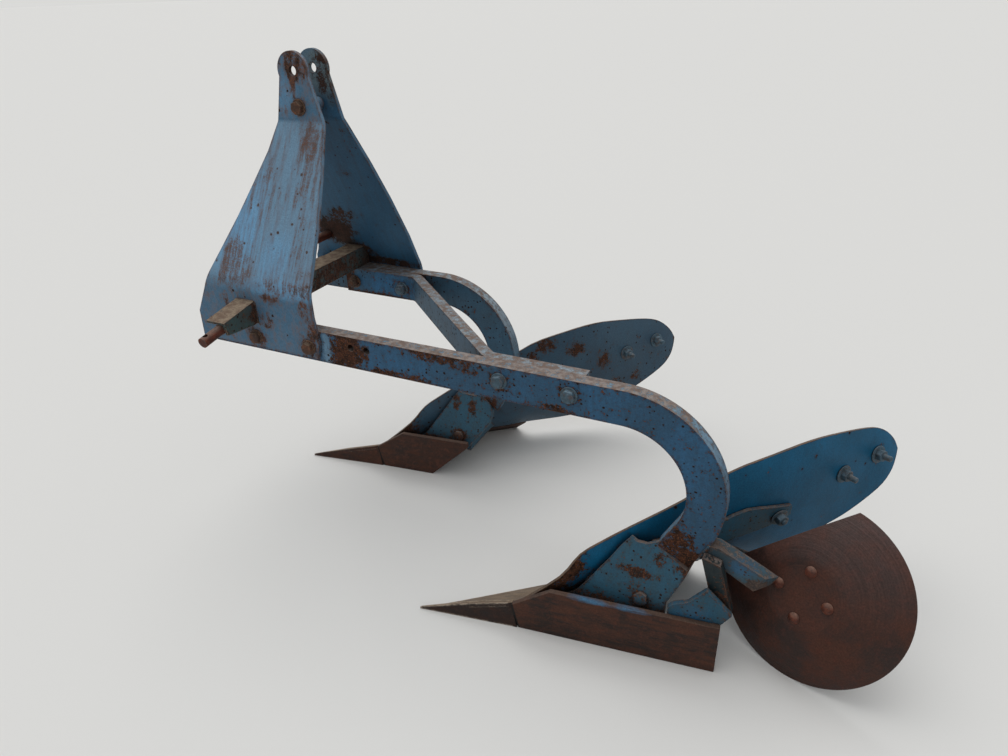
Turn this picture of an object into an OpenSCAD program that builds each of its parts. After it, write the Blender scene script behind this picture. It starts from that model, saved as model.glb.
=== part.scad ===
// Two-furrow mounted moldboard plough for a three-point linkage.
// Axes: X runs rearward, Y to the plough's right, Z up, and the soles stand on z = 0.
// Stations along X are measured from the rear bottom's share joint, rearward positive.
// Places across Y are measured from that joint's landside face.

/* [Bottoms] */
// sideways distance from one bottom to the next, which is the width of a furrow
furrow_width = 385;  // [360:5:410]
// distance from the front bottom to the rear one along the beams
bottom_stagger = 595;  // [540:5:680]
// angle in degrees of the landsides to the beams
landside_toe = 7.5;  // [4:0.5:9]

/* [Beams] */
// height of the beams' top face above the floor
beam_top = 552;  // [540:2:600]
// depth of each beam bar
beam_depth = 72;  // [66:1:80]
// thickness of each beam bar
beam_thickness = 30;  // [25:1:32]
// station of the beams' front ends
beam_front = -818;  // [-850:1:-790]
// station where the rear beam starts to bend down
neck_start = 166;  // [150:1:180]
// inner radius of the bend
neck_inner_radius = 132;  // [120:1:140]
// angle in degrees that the bend turns through
neck_turn = 118;  // [112:1:122]
// length of the straight end below the bend
neck_end = 64;  // [50:1:80]
// place across of the rear beam's outer face
beam_side = 104;  // [98:1:110]
// diameter of the two free holes in the rear beam
free_hole = 16;  // [12:1:20]

/* [Mast] */
// thickness of the mast plates
mast_thickness = 10;  // [8:1:12]
// clear width between the two ears at the top
ear_gap = 55;  // [50:1:62]
// height of the ears' top above the beams
ear_top = 534;  // [500:2:560]
// radius of the rounded end of each ear
ear_radius = 38;  // [32:1:42]
// height of the upper bend above the beams
upper_bend = 395;  // [370:1:420]
// height of the left plate's lower bend above the beams
lower_bend = 86;  // [70:1:110]
// height of the right plate's lower bend above the beams
right_lower_bend = 16;  // [14:1:40]
// diameter of the top link hole
top_link_hole = 19.5;  // [19:0.1:26]
// height of the spacer bolt above the upper bend
spacer_rise = 30;  // [22:1:40]
// diameter of the tie bar between the mast plates
tie_bar_diameter = 22;  // [16:1:28]

/* [Hitch] */
// leg of the angle bar that crosses the beams
angle_leg = 50;  // [45:1:60]
// thickness of the angle bar's legs
angle_thickness = 6;  // [5:0.5:8]
// station of the angle bar's rear face
angle_station = -661;  // [-680:1:-640]
// length of the angle bar outside each mast plate
stub_length = 94;  // [80:1:110]
// angle in degrees that the stubs hang down by
stub_droop = 9.5;  // [0:0.5:12]
// diameter of the lower link pins
link_pin_diameter = 22.4;  // [22:0.1:28]
// length of each link pin beyond its stub
link_pin_reach = 52;  // [45:1:80]
// radial step from the pin to its thicker root under the stub
pin_shoulder = 1;  // [0.5:0.1:2]
// diameter of the linch pin holes
linch_hole = 11;  // [8:0.5:11.5]

/* [Brace] */
// thickness of the brace bar
brace_thickness = 25;  // [20:1:28]
// depth of the brace bar
brace_depth = 64;  // [50:1:66]
// station where the brace leaves the front beam
brace_front_bend = -488;  // [-510:1:-470]
// station where the brace meets the rear beam
brace_rear_bend = -119;  // [-150:1:-90]

/* [Landsides] */
// length of the rear landside
landside_length = 398;  // [360:2:420]
// height of the landsides
landside_height = 117;  // [100:1:125]
// thickness of the landsides
landside_thickness = 12;  // [10:1:14]
// thickness of the heel plate inside the rear landside
heel_thickness = 12;  // [10:1:14]
// place across of the strut's outer face
strut_face = 84;  // [80:1:92]

/* [Moldboards] */
// thickness of the moldboard sheet
moldboard_thickness = 6;  // [5:0.5:8]
// thickness of the share blade
share_thickness = 8;  // [6:0.5:10]
// thickness of the share's upright side wall
share_wall_thickness = 10;  // [8:0.5:12]
// hollow of the moldboard as a share of its height
moldboard_hollow = 0.12;  // [0.08:0.01:0.16]
// thickness of the strap behind the moldboard
strap_thickness = 8;  // [6:1:10]
// gap that is left between two faces that lie on each other
seat_clearance = 0.4;  // [0.2:0.1:0.6]

/* [Frogs] */
// thickness of the frog plate
frog_thickness = 14;  // [10:1:16]
// lean of the frog plate in degrees from upright
frog_lean = 18.3;  // [14:0.1:20]
// thickness of the ribs between the frog plate and the moldboard
rib_thickness = 12;  // [10:1:16]
// width of the foot that is bolted along the landside
foot_width = 22;  // [18:1:26]
// height of that foot
foot_height = 44;  // [36:1:50]

/* [Wheel] */
// radius of the rolling disc
disc_radius = 178;  // [165:1:185]
// radius of the sphere that the disc is pressed to
disc_sphere = 305;  // [290:1:340]
// thickness of the disc
disc_thickness = 5;  // [4:0.5:7]
// radius of the flat middle of the disc
disc_flat = 62;  // [55:1:70]
// distance from the axle to the straight edge where the disc is cut off
disc_chord = 104;  // [95:1:140]
// station of the disc's centre
wheel_station = 538.6;  // [530:0.2:560]
// place across of the disc's centre
wheel_side = 172.6;  // [165:0.2:185]
// lean of the axle in degrees above level
axle_lift = 24.2;  // [15:0.2:28]
// heading of the axle in degrees, seen from above
axle_heading = -112.2;  // [-120:0.2:-95]
// diameter of the wheel's axle
axle_diameter = 30;  // [25:1:32]
// side of the square on which the disc's four bolts stand
disc_bolt_square = 67;  // [60:1:72]
// radius of the hub behind the disc
hub_radius = 34;  // [30:1:38]
// gap between the hub and the arm's boss
arm_clearance = 5;  // [5:0.5:8]
// thickness of the wheel's arm
arm_thickness = 12;  // [10:1:14]
// height of the arm's lower edge above the floor
arm_low = 93;  // [85:1:100]
// depth of the arm bar
arm_depth = 50;  // [40:1:60]
// radius of the boss that holds the axle
boss_radius = 28;  // [24:1:32]
// length of that boss
boss_length = 40;  // [35:1:50]

/* [Fasteners] */
// diameter of the frame bolts
bolt_diameter = 16;  // [12:1:18]
// width across flats of the bolt heads
bolt_flats = 24;  // [22:1:27]
// radial clearance between a bolt and its hole
bolt_clearance = 0.3;  // [0.1:0.1:1]

/* [Hidden] */
eps = 0.01;
bend_step = 3;

beam_bottom = beam_top - beam_depth;
front_beam_side = beam_side + furrow_width;
middle_y = beam_side + (furrow_width + beam_thickness) / 2;
neck_outer_radius = neck_inner_radius + beam_depth;
neck_centre_z = beam_top - neck_outer_radius;
neck_heading = [-sin(neck_turn - 90), -cos(neck_turn - 90)];
neck_side = [cos(neck_turn - 90), -sin(neck_turn - 90)];
neck_tip_outer = [neck_start, neck_centre_z] + neck_outer_radius * neck_side
  + neck_end * neck_heading;
neck_tip_inner = neck_tip_outer - beam_depth * neck_side;

mast_outer_y = beam_side - mast_thickness;
ear_outer_y = middle_y - ear_gap / 2 - mast_thickness;
mast_base = beam_top - 62;
mast_shift = ear_outer_y - mast_outer_y;
spacer_height = upper_bend + spacer_rise;
ear_centre_x = -612;
ear_centre_z = beam_top + ear_top - ear_radius;
// station and height above the beams' top of the mast outline's corners, front edge then rear edge
mast_outline = [
  [-838, -62], [-835, 2], [-799, 68], [-764, 142], [-732, 212], [-707, 275], [-683, 339], [-671, 396],
  [-648, 486], [-576, 486],
  [-549, 383], [-530, 292], [-516, 202], [-506, 98], [-506, 30], [-498, -26], [-508, -62]
];
// station and height above the beams' top of the bolts that hold the mast plates
mast_bolts = [[-672, -36], [-526, -36]];
// station and height above the beams' top of the bolts through the brace's foot
foot_bolts = [[-76, -30], [67.5, -30]];
// station and height above the beams' top of the free holes
free_holes = [[-423, -24], [-383, -24]];
mast_front = min([for (p = mast_outline) p[0]]);
mast_rear = max([for (p = mast_outline) p[0]]);
tie_bar_place = [-757, 76];
spacer_station = -608;

angle_top = beam_top + angle_leg;
pin_radius = link_pin_diameter / 2;
pin_root = pin_radius + pin_shoulder;
pin_station = angle_station - angle_thickness - pin_root - 0.1;
pin_drop = angle_thickness + pin_root + 0.1;

brace_front_y = front_beam_side - brace_thickness / 2;
brace_rear_y = beam_side + beam_thickness + brace_thickness / 2;
brace_run = brace_rear_bend - brace_front_bend;
brace_angle = atan2(brace_front_y - brace_rear_y, brace_run);
brace_bend_radius = 14;
brace_tangent = (brace_bend_radius + brace_thickness / 2) * tan(brace_angle / 2);
brace_front_length = 212;
brace_foot_length = 207;
brace_slope_length = norm([brace_run, brace_front_y - brace_rear_y]);

landside_joint = [-14, 60];
tail_end = 482;
// ribs that carry the moldboard: columns are station, low end, high end, reach to the right
frog_rib_places = [[118, 84, 168, 150], [235, 74, 205, 240]];
// strap behind the moldboard: columns are place along, low edge and high edge
strap_places = [
  [4.5, 0.4, 0.66], [5.37, 0.418, 0.68], [5.74, 0.42, 0.685], [6.43, 0.425, 0.673],
  [6.89, 0.43, 0.62], [7.2, 0.45, 0.59], [7.48, 0.47, 0.557]
];
// nuts behind the moldboard: columns are place along, place up and height over the sheet
moldboard_nuts = [
  [9.14, 0.58, 0], [10.69, 0.63, 0], [7.17, 0.496, strap_thickness + seat_clearance]
];
// front edge of both frog plates as stations and heights, from the top down to the landside
frog_front_edge = [
  [200, neck_tip_inner[1] + 2], [183, neck_tip_inner[1] - 20], [165, 180], [143, 148], [125, 120],
  [104, 93], [76, 72], [60, 24]
];
frog_top_x = neck_tip_inner[0];
frog_top_z = neck_tip_inner[1];

// Stations of the moldboard from the share's nose to the tail.
// Columns: lower edge x, y, z, then upper edge x, y, z, then how much of the hollow is left.
moldboard_stations = [
  [-4, 14, 62, 4, 14, 71, 0.3],
  [60, 66, 66, 76, 42, 137, 0.8],
  [125, 135, 60, 106, 76, 178, 1],
  [185, 195, 55, 150, 102, 212, 1],
  [250, 255, 52, 192, 126, 240, 1],
  [305, 305, 52, 275, 190, 284, 1],
  [350, 336, 54, 350, 250, 334, 0.9],
  [410, 372, 60, 420, 310, 356, 0.75],
  [484, 416, 77, 483, 380, 364, 0.55],
  [547, 460, 116, 533, 450, 353, 0.4],
  [587, 495, 141, 588, 525, 336, 0.25],
  [633, 545, 178, 617, 560, 319, 0.15],
  [651, 572, 205, 642, 586, 288, 0.1],
  [657, 588, 232, 656, 597, 258, 0]
];
moldboard_last = len(moldboard_stations) - 1;
// Stations of the share blade from its point to its wing.
// Columns: cutting edge x, y, z, then seam with the moldboard x, y, z.
share_stations = [
  [-217, -38, 0, -216, -38, 6],
  [-150, 15, 0, -115, -14, 33],
  [-86, 66, 0, -15, 5, 60],
  [30, 159, 0, 59, 65, 65.5],
  [88, 205, 0, 124.5, 134.5, 59.5],
  [140, 247, 0, 184.5, 194.5, 54.5],
  [199, 294, 0, 249.5, 254.5, 51.5],
  [252, 336, 0, 304.5, 304.5, 51.5]
];
// Stations of the share's side wall from its point to the landside.
// Columns: upper edge x, y, z, then lower edge x, y, z, then how much of the wall's thickness is there.
share_wall = [
  [-214, -37, 6.5, -215, -38, 0.4, 0.25],
  [-115, -14, 32.5, -118, -21, 0, 1],
  [-15, 5, 59.5, -1, -0.5, 0, 1]
];

wheel_height = disc_radius * cos(axle_lift) + 0.3;
sphere_depth = sqrt(disc_sphere * disc_sphere - disc_radius * disc_radius);
disc_face = sqrt(disc_sphere * disc_sphere - disc_flat * disc_flat) - sphere_depth;
chord_heading = -133.8;
axle_radius = axle_diameter / 2;
axle_running_clearance = 0.05;
hub_flange_thickness = 10;
hub_rear = -40;
boss_front = hub_rear - arm_clearance;
arm_start = [365, 64];
arm_corner = [348, 264];

// the finished part's origin is under the middle of its overall box
disc_rear_x = wheel_station
  + disc_radius * sqrt(1 - pow(cos(axle_lift) * cos(axle_heading), 2));
pin_tip_y = mast_outer_y - (stub_length + link_pin_reach) * cos(stub_droop)
  + (pin_drop - pin_radius) * sin(stub_droop);
tail_tip_y = furrow_width + moldboard_stations[moldboard_last][4];
origin_x = (mast_outline[0][0] + disc_rear_x) / 2;
origin_y = (pin_tip_y + tail_tip_y) / 2;

// node to draw, or all of them

function unit(v) = v / norm(v);
function blend(a, b, t) = a + (b - a) * t;

// point on a smooth curve through the rows' columns first to first + 2, at place s
function curve_point(rows, first, s) =
  let (last = len(rows) - 1)
  let (k = min(max(floor(s), 0), last - 1))
  let (f = s - k)
  let (a = pick(rows[max(k - 1, 0)], first))
  let (b = pick(rows[k], first))
  let (c = pick(rows[k + 1], first))
  let (d = pick(rows[min(k + 2, last)], first))
  0.5 * (2 * b + (c - a) * f + (2 * a - 5 * b + 4 * c - d) * f * f
  + (3 * b - a - 3 * c + d) * f * f * f);
function pick(row, first) = [row[first], row[first + 1], row[first + 2]];

function lower_edge(s) = curve_point(moldboard_stations, 0, s);
function upper_edge(s) = curve_point(moldboard_stations, 3, s);
function middle_line(s) = blend(lower_edge(s), upper_edge(s), 0.5);
function hollow_heading(s) =
  let (a = max(s - 0.1, 0))
  let (b = min(s + 0.1, moldboard_last))
  unit(cross(middle_line(b) - middle_line(a), upper_edge(s) - lower_edge(s)));

function hollow_depth(s) =
  let (k = min(max(floor(s), 0), moldboard_last - 1))
  moldboard_hollow * norm(upper_edge(s) - lower_edge(s))
  * blend(moldboard_stations[k][6], moldboard_stations[k + 1][6], s - k);

// the moldboard's working face: s runs from nose to tail, t from the lower to the upper edge
function face_point(s, t) =
  blend(lower_edge(s), upper_edge(s), t)
  + hollow_heading(s) * hollow_depth(s) * 4 * t * (1 - t);
function face_normal(s, t) =
  let (a = max(s - 0.05, 0))
  let (b = min(s + 0.05, moldboard_last))
  let (c = max(t - 0.05, 0))
  let (d = min(t + 0.05, 1))
  unit(cross(face_point(b, t) - face_point(a, t), face_point(s, d) - face_point(s, c)));
function behind_face(s, t, depth) = face_point(s, t) + face_normal(s, t) * depth;

// closed solid between two grids of points, the second one behind the first
module grid_solid(face, back) {
  rows = len(face);
  cols = len(face[0]);
  total = rows * cols;
  points = concat([for (r = face) for (p = r) p], [for (r = back) for (p = r) p]);
  function at(i, j) = i * cols + j;
  face_sides = [
    for (i = [0 : rows - 2]) for (j = [0 : cols - 2])
      for (f = [[at(i, j), at(i + 1, j + 1), at(i, j + 1)], [at(i, j), at(i + 1, j), at(i + 1, j + 1)]]) f
  ];
  back_sides = [for (f = face_sides) [f[0] + total, f[2] + total, f[1] + total]];
  lower_rim = [
    for (i = [0 : rows - 2])
      for (f = [
        [at(i, 0), at(i, 0) + total, at(i + 1, 0)],
        [at(i + 1, 0), at(i, 0) + total, at(i + 1, 0) + total]
      ]) f
  ];
  upper_rim = [
    for (i = [0 : rows - 2])
      for (f = [
        [at(i, cols - 1), at(i + 1, cols - 1), at(i, cols - 1) + total],
        [at(i + 1, cols - 1), at(i + 1, cols - 1) + total, at(i, cols - 1) + total]
      ]) f
  ];
  nose_rim = [
    for (j = [0 : cols - 2])
      for (f = [
        [at(0, j), at(0, j + 1), at(0, j) + total],
        [at(0, j + 1), at(0, j + 1) + total, at(0, j) + total]
      ]) f
  ];
  tail_rim = [
    for (j = [0 : cols - 2])
      for (f = [
        [at(rows - 1, j), at(rows - 1, j) + total, at(rows - 1, j + 1)],
        [at(rows - 1, j + 1), at(rows - 1, j) + total, at(rows - 1, j + 1) + total]
      ]) f
  ];
  polyhedron(points, concat(face_sides, back_sides, lower_rim, upper_rim, nose_rim, tail_rim));
}

// part of the moldboard's form between two stations, from one depth behind the face to another
module moldboard_form(from, to, steps, front_depth, back_depth, rows = 10) {
  stations = [for (i = [0 : steps]) from + (to - from) * i / steps];
  grid_solid(
    [for (s = stations) [for (j = [0 : rows]) behind_face(s, j / rows, front_depth)]],
    [for (s = stations) [for (j = [0 : rows]) behind_face(s, j / rows, back_depth)]]
  );
}

// one side line of a bent strip: runs are [straight length, turn to the left, inner radius]
function side_line(runs, width, offset, start = [0, 0], heading = 0) =
  let (run = runs[0])
  let (ahead = [cos(heading), sin(heading)])
  let (left = [-sin(heading), cos(heading)])
  let (end = start + run[0] * ahead)
  let (side = run[1] < 0 ? -1 : 1)
  let (radius = run[2] + width / 2)
  let (centre = end + side * radius * left)
  let (steps = ceil(abs(run[1]) / bend_step))
  let (reach = side * radius - offset)
  let (arc = [
    for (i = [1 : steps])
      let (a = heading + run[1] * i / steps)
      centre + reach * [sin(a), -cos(a)]
  ])
  let (next_heading = heading + run[1])
  let (next_start = centre + side * radius * [sin(next_heading), -cos(next_heading)])
  len(runs) == 1
    ? [end + offset * left]
    : concat([end + offset * left], arc,
        side_line([for (i = [1 : len(runs) - 1]) runs[i]], width, offset, next_start, next_heading));
function reversed(list) = [for (i = [len(list) - 1 : -1 : 0]) list[i]];

// flat outline of a strip that is bent in its plane
module bent_strip(runs, width) {
  polygon(concat(
    [[0, width / 2]], side_line(runs, width, width / 2),
    reversed(side_line(runs, width, -width / 2)), [[0, -width / 2]]
  ));
}

// extrudes an outline drawn in stations and heights across the plough
module across(y, thickness) {
  translate([0, y + thickness, 0]) rotate([90, 0, 0]) linear_extrude(thickness) children();
}

// bolt along Y: head at the low side, nut at the high side of the grip
module cross_bolt(y, grip, diameter = bolt_diameter, flats = bolt_flats) {
  head = diameter * 0.63;
  nut = diameter * 0.8;
  translate([0, y, 0]) rotate([-90, 0, 0]) {
    translate([0, 0, -head]) cylinder(r = flats / sqrt(3), h = head, $fn = 6);
    translate([0, 0, -eps]) cylinder(d = diameter, h = grip + nut + 4, $fn = 32);
    translate([0, 0, grip]) cylinder(r = flats / sqrt(3), h = nut, $fn = 6);
  }
}

module cross_round(y, length, diameter) {
  translate([0, y, 0]) rotate([-90, 0, 0]) cylinder(d = diameter, h = length, $fn = 48);
}

// places its children in the frame of the finished part
module placed() {
  translate([-origin_x, -origin_y, 0]) children();
}

// places its children at the front bottom
module at_front_bottom() {
  translate([-bottom_stagger, furrow_width, 0]) children();
}

module mirrored_across() {
  translate([0, 2 * middle_y, 0]) mirror([0, 1, 0]) children();
}

// beam with its gooseneck: its bend starts at neck_start behind its own bottom's joint
module gooseneck(front, side, thickness) {
  across(side, thickness)
    translate([front, beam_top - beam_depth / 2])
      bent_strip([[neck_start - front, -neck_turn, neck_inner_radius], [neck_end, 0, 0]],
        beam_depth);
}

module beam_bar(holes) {
  difference() {
    gooseneck(beam_front, beam_side, beam_thickness);
    for (h = holes)
      translate([h[0], 0, beam_top + h[1]])
        cross_round(beam_side - 1, beam_thickness + 2, h[2]);
  }
}

module beam_rear() {
  fitted = bolt_diameter + 2 * bolt_clearance;
  color("#2f6080")
    beam_bar(concat(
      [for (h = free_holes) [h[0], h[1], free_hole]],
      [for (h = mast_bolts) [h[0], h[1], fitted]],
      [for (h = foot_bolts) [h[0], h[1], fitted]]
    ));
}

module beam_front() {
  fitted = bolt_diameter + 2 * bolt_clearance;
  color("#2f6080")
    difference() {
      at_front_bottom() gooseneck(beam_front + bottom_stagger, beam_side, beam_thickness);
      for (h = mast_bolts)
        translate([h[0], 0, beam_top + h[1]])
          cross_round(front_beam_side - 1, beam_thickness + 2, fitted);
    }
}

module mast_bend(bend) {
  mast_slant = atan2(mast_shift, upper_bend - bend);
  lower_length = beam_top + bend - mast_base;
  slope_length = norm([mast_shift, upper_bend - bend]);
  lower_radius = 60;
  upper_radius = 16;
  lower_tangent = (lower_radius + mast_thickness / 2) * tan(mast_slant / 2);
  upper_tangent = (upper_radius + mast_thickness / 2) * tan(mast_slant / 2);
  translate([mast_rear + 8, mast_outer_y + mast_thickness / 2, mast_base])
    rotate([0, -90, 0]) linear_extrude(mast_rear - mast_front + 16)
      bent_strip([
        [lower_length - lower_tangent, mast_slant, lower_radius],
        [slope_length - lower_tangent - upper_tangent, -mast_slant, upper_radius],
        [ear_top - upper_bend - upper_tangent, 0, 0]
      ], mast_thickness);
}

module angle_opening(clearance) {
  translate([angle_station - angle_leg - clearance, angle_top - angle_thickness - clearance])
    square([angle_leg + 2 * clearance, angle_thickness + 2 * clearance]);
  translate([angle_station - angle_thickness - clearance, beam_top - clearance])
    square([angle_thickness + 2 * clearance, angle_leg + 2 * clearance]);
}

module mast_plate(bend) {
  difference() {
    intersection() {
      mast_bend(bend);
      union() {
        across(0, middle_y) polygon([for (p = mast_outline) [p[0], beam_top + p[1]]]);
        translate([ear_centre_x, 0, ear_centre_z]) cross_round(0, middle_y, 2 * ear_radius);
      }
    }
    for (h = mast_bolts)
      translate([h[0], 0, beam_top + h[1]])
        cross_round(mast_outer_y - 1, mast_thickness + 2, bolt_diameter + 2 * bolt_clearance);
    translate([ear_centre_x, 0, ear_centre_z])
      cross_round(ear_outer_y - 1, mast_thickness + 2, top_link_hole);
    translate([spacer_station, 0, beam_top + spacer_height])
      cross_round(ear_outer_y - 1, mast_thickness + 2, bolt_diameter + 2 * bolt_clearance);
    across(mast_outer_y - 1, 5 * mast_thickness) angle_opening(0.3);
  }
}

module mast_plate_left() {
  color("#2d5f80") mast_plate(lower_bend);
}

module mast_plate_right() {
  color("#2d5f80") mirrored_across() mast_plate(right_lower_bend);
}

module mast_spacer() {
  color("#4a4a46")
    translate([spacer_station, 0, beam_top + spacer_height])
      difference() {
        cross_round(middle_y - ear_gap / 2, ear_gap, 28);
        cross_round(middle_y - ear_gap / 2 - 1, ear_gap + 2, bolt_diameter + 1);
      }
}

module mast_spacer_bolt() {
  color("#6b4a35")
    translate([spacer_station, 0, beam_top + spacer_height])
      cross_bolt(ear_outer_y, ear_gap + 2 * mast_thickness);
}

module mast_bolts() {
  color("#6b4a35")
    for (h = mast_bolts)
      translate([h[0], 0, beam_top + h[1]]) {
        cross_bolt(mast_outer_y, mast_thickness + beam_thickness);
        mirrored_across() cross_bolt(mast_outer_y, mast_thickness + beam_thickness + brace_thickness);
      }
}

module tie_bar() {
  color("#5b4636")
    difference() {
      translate([tie_bar_place[0], 0, beam_top + tie_bar_place[1]])
        cross_round(mast_outer_y + 7, 2 * (middle_y - mast_outer_y - 7), tie_bar_diameter);
      mast_bend(lower_bend);
      // it ends on the sloping inner face of the right plate
      mirrored_across() translate([mast_front, mast_outer_y, beam_top + right_lower_bend])
        rotate([-atan2(mast_shift, upper_bend - right_lower_bend), 0, 0]) translate([0, -100, 0])
          cube([mast_rear - mast_front, 100 + mast_thickness, upper_bend]);
    }
}

module hanging_from_plate() {
  translate([0, mast_outer_y, angle_top]) rotate([stub_droop, 0, 0])
    translate([0, -mast_outer_y, -angle_top]) children();
}

module angle_stub() {
  difference() {
    hanging_from_plate() difference() {
      across(mast_outer_y - stub_length, stub_length + 12) angle_opening(0);
      // the upright leg is cut back towards its free end
      translate([angle_station - angle_leg, mast_outer_y - stub_length, angle_top - 30])
        rotate([-15, 0, 0]) translate([0, -30, -60]) cube([2 * angle_leg, stub_length * 2, 60]);
    }
    translate([angle_station - 2 * angle_leg, mast_outer_y, beam_bottom])
      cube([4 * angle_leg, beam_thickness * 2, 3 * angle_leg]);
  }
}

module cross_angle() {
  color("#5f6a68") {
    across(mast_outer_y, 2 * (middle_y - mast_outer_y)) angle_opening(0);
    angle_stub();
    mirrored_across() angle_stub();
  }
}

module link_pin() {
  inset = mast_outer_y;
  reach = stub_length + link_pin_reach;
  difference() {
    hanging_from_plate() difference() {
      translate([pin_station, 0, angle_top - pin_drop]) {
        cross_round(inset - reach, reach, link_pin_diameter);
        cross_round(inset - stub_length, stub_length + 20, 2 * pin_root);
      }
      translate([pin_station, inset - reach + 12, angle_top - pin_drop - link_pin_diameter])
        cylinder(d = linch_hole, h = 2 * link_pin_diameter, $fn = 32);
    }
    translate([angle_station - 2 * angle_leg, mast_outer_y - 0.1, beam_bottom])
      cube([4 * angle_leg, beam_thickness * 2, 3 * angle_leg]);
  }
}

module link_pin_left() {
  color("#5a3c2c") link_pin();
}

module link_pin_right() {
  color("#5a3c2c") mirrored_across() link_pin();
}

module brace_bar() {
  translate([brace_front_bend - brace_front_length, brace_front_y, beam_top - brace_depth - 1])
    linear_extrude(brace_depth) bent_strip([
      [brace_front_length - brace_tangent, -brace_angle, brace_bend_radius],
      [brace_slope_length - 2 * brace_tangent, brace_angle, brace_bend_radius],
      [brace_foot_length - brace_tangent, 0, 0]
    ], brace_thickness);
}

module brace() {
  fitted = bolt_diameter + 2 * bolt_clearance;
  color("#35708f")
    difference() {
      brace_bar();
      for (h = mast_bolts)
        translate([h[0], 0, beam_top + h[1]])
          cross_round(front_beam_side - brace_thickness - 1, brace_thickness + 2, fitted);
      for (h = foot_bolts)
        translate([h[0], 0, beam_top + h[1]])
          cross_round(beam_side + beam_thickness - 1, brace_thickness + 2, fitted);
    }
}

module brace_bolts() {
  color("#6b4a35")
    for (h = foot_bolts)
      translate([h[0], 0, beam_top + h[1]])
        cross_bolt(beam_side, beam_thickness + brace_thickness);
}

// turns a piece that was drawn along a straight landside by the landside's toe
module toed() {
  rotate([0, 0, landside_toe]) children();
}

module inside_of_landside(reach = 400) {
  toed() translate([-reach, landside_thickness, -1]) cube([3 * reach, 2 * reach, 2 * reach]);
}

// the space that the landside takes up, with a little more on every side
module landside_space() {
  grown = seat_clearance;
  toed() across(-60, 60 + landside_thickness + grown)
    polygon([
      [-grown, -10], [landside_length, -10], [landside_length, landside_height + grown],
      [68, landside_height + grown], [landside_joint[0] - grown, landside_joint[1] + grown]
    ]);
}

module landside(outline) {
  toed() across(0, landside_thickness) polygon(outline);
}

module landside_rear() {
  color("#4a3328")
    landside([
      [0, 0], [landside_length, 0], [landside_length, landside_height], [68, landside_height],
      landside_joint
    ]);
}

module landside_front() {
  color("#4a3328")
    at_front_bottom() landside([
      [0, 0], [150, 0], [258, landside_height - 14], [258, landside_height], [68, landside_height],
      landside_joint
    ]);
}

module share() {
  // the blade, a thin sheet from the cutting edge to the seam
  face = [for (r = share_stations) [pick(r, 0), pick(r, 3)]];
  back = [
    for (i = [0 : len(share_stations) - 1])
      let (r = share_stations[i])
      let (slope = unit([r[3] - r[0], r[4] - r[1], 0]))
      [
        pick(r, 0) + slope * share_thickness * (i == 0 ? 0.1 : 1.6),
        pick(r, 3) + [0, 0, -1] * min(share_thickness, r[5] * 0.6) + slope * 2
      ]
  ];
  // upright side wall under the near edge, which carries the landside's line on to the point
  wall = [for (r = share_wall) [pick(r, 0), pick(r, 3)]];
  inner_wall = [for (r = share_wall)
    [pick(r, 0) + [0, r[6] * share_wall_thickness, -1], pick(r, 3) + [0, r[6] * share_wall_thickness, 0]]];
  difference() {
    union() {
      grid_solid(face, back);
      grid_solid(wall, inner_wall);
    }
    landside_space();
  }
}

module share_rear() {
  color("#4f382b") share();
}

module share_front() {
  color("#4f382b") at_front_bottom() share();
}

module moldboard() {
  difference() {
    moldboard_form(0, moldboard_last, 3 * moldboard_last, 0, moldboard_thickness);
    landside_space();
  }
}

module moldboard_rear() {
  color("#1f4f70") moldboard();
}

module moldboard_front() {
  color("#1f4f70") at_front_bottom() moldboard();
}

// the leaning plate of the frog, drawn in stations and heights on its own slope
module frog_slab(outline, depth = frog_thickness) {
  // the plate's outer face passes through the beam's face where the beam is cut off
  translate([0, beam_side, frog_top_z])
    rotate([-frog_lean, 0, 0])
      translate([0, depth, 0]) rotate([90, 0, 0]) linear_extrude(depth)
        polygon([for (p = outline) [p[0], (p[1] - frog_top_z) / cos(frog_lean)]]);
}

module frog(rear_edge, foot_length, neck_side) {
  difference() {
    intersection() {
      frog_slab(concat(frog_front_edge, rear_edge));
      inside_of_landside();
    }
    // the beam's end stands on the plate's upper corner
    gooseneck(beam_front, neck_side, beam_thickness * 4);
  }
  // foot that is bolted along the inside of the landside
  toed() translate([40, landside_thickness, 4]) cube([foot_length, foot_width, foot_height]);
}

module frog_rear() {
  color("#2a6a92")
    frog([
      [landside_length - 108, 24], [landside_length - 112, 121],
      [neck_tip_outer[0] - 4, neck_tip_outer[1] - 20],
      [neck_tip_outer[0] + 10, neck_tip_outer[1] + 20], [frog_top_x + 12, frog_top_z + 12],
      [232, frog_top_z - 4], [212, frog_top_z - 4]
    ], landside_length - 148, beam_side - 60);
}

// the front frog is rounded off at the back and ends above the short landside
module frog_front() {
  color("#2a6a92") at_front_bottom()
    frog([
      [150, 24], [205, 52], [242, 87], [274, 128], [298, 162], [304, 182], [305, 197], [296, 215],
      [279, frog_top_z - 2], [232, frog_top_z - 2], [212, frog_top_z - 2]
    ], 105, beam_side);
}

module frog_ribs() {
  for (r = frog_rib_places)
    difference() {
      intersection() {
        translate([r[0], 40, r[1]]) cube([rib_thickness, r[3] - 40, r[2] - r[1]]);
        translate([-400, beam_side + frog_thickness / cos(frog_lean), frog_top_z])
          rotate([-frog_lean, 0, 0]) translate([0, 0, -beam_top]) cube(2 * beam_top);
      }
      moldboard_form(0.5, 7, 26, -110, moldboard_thickness + seat_clearance);
    }
}

module frog_rib_rear() {
  color("#24597c") frog_ribs();
}

module frog_rib_front() {
  color("#24597c") at_front_bottom() frog_ribs();
}

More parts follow.
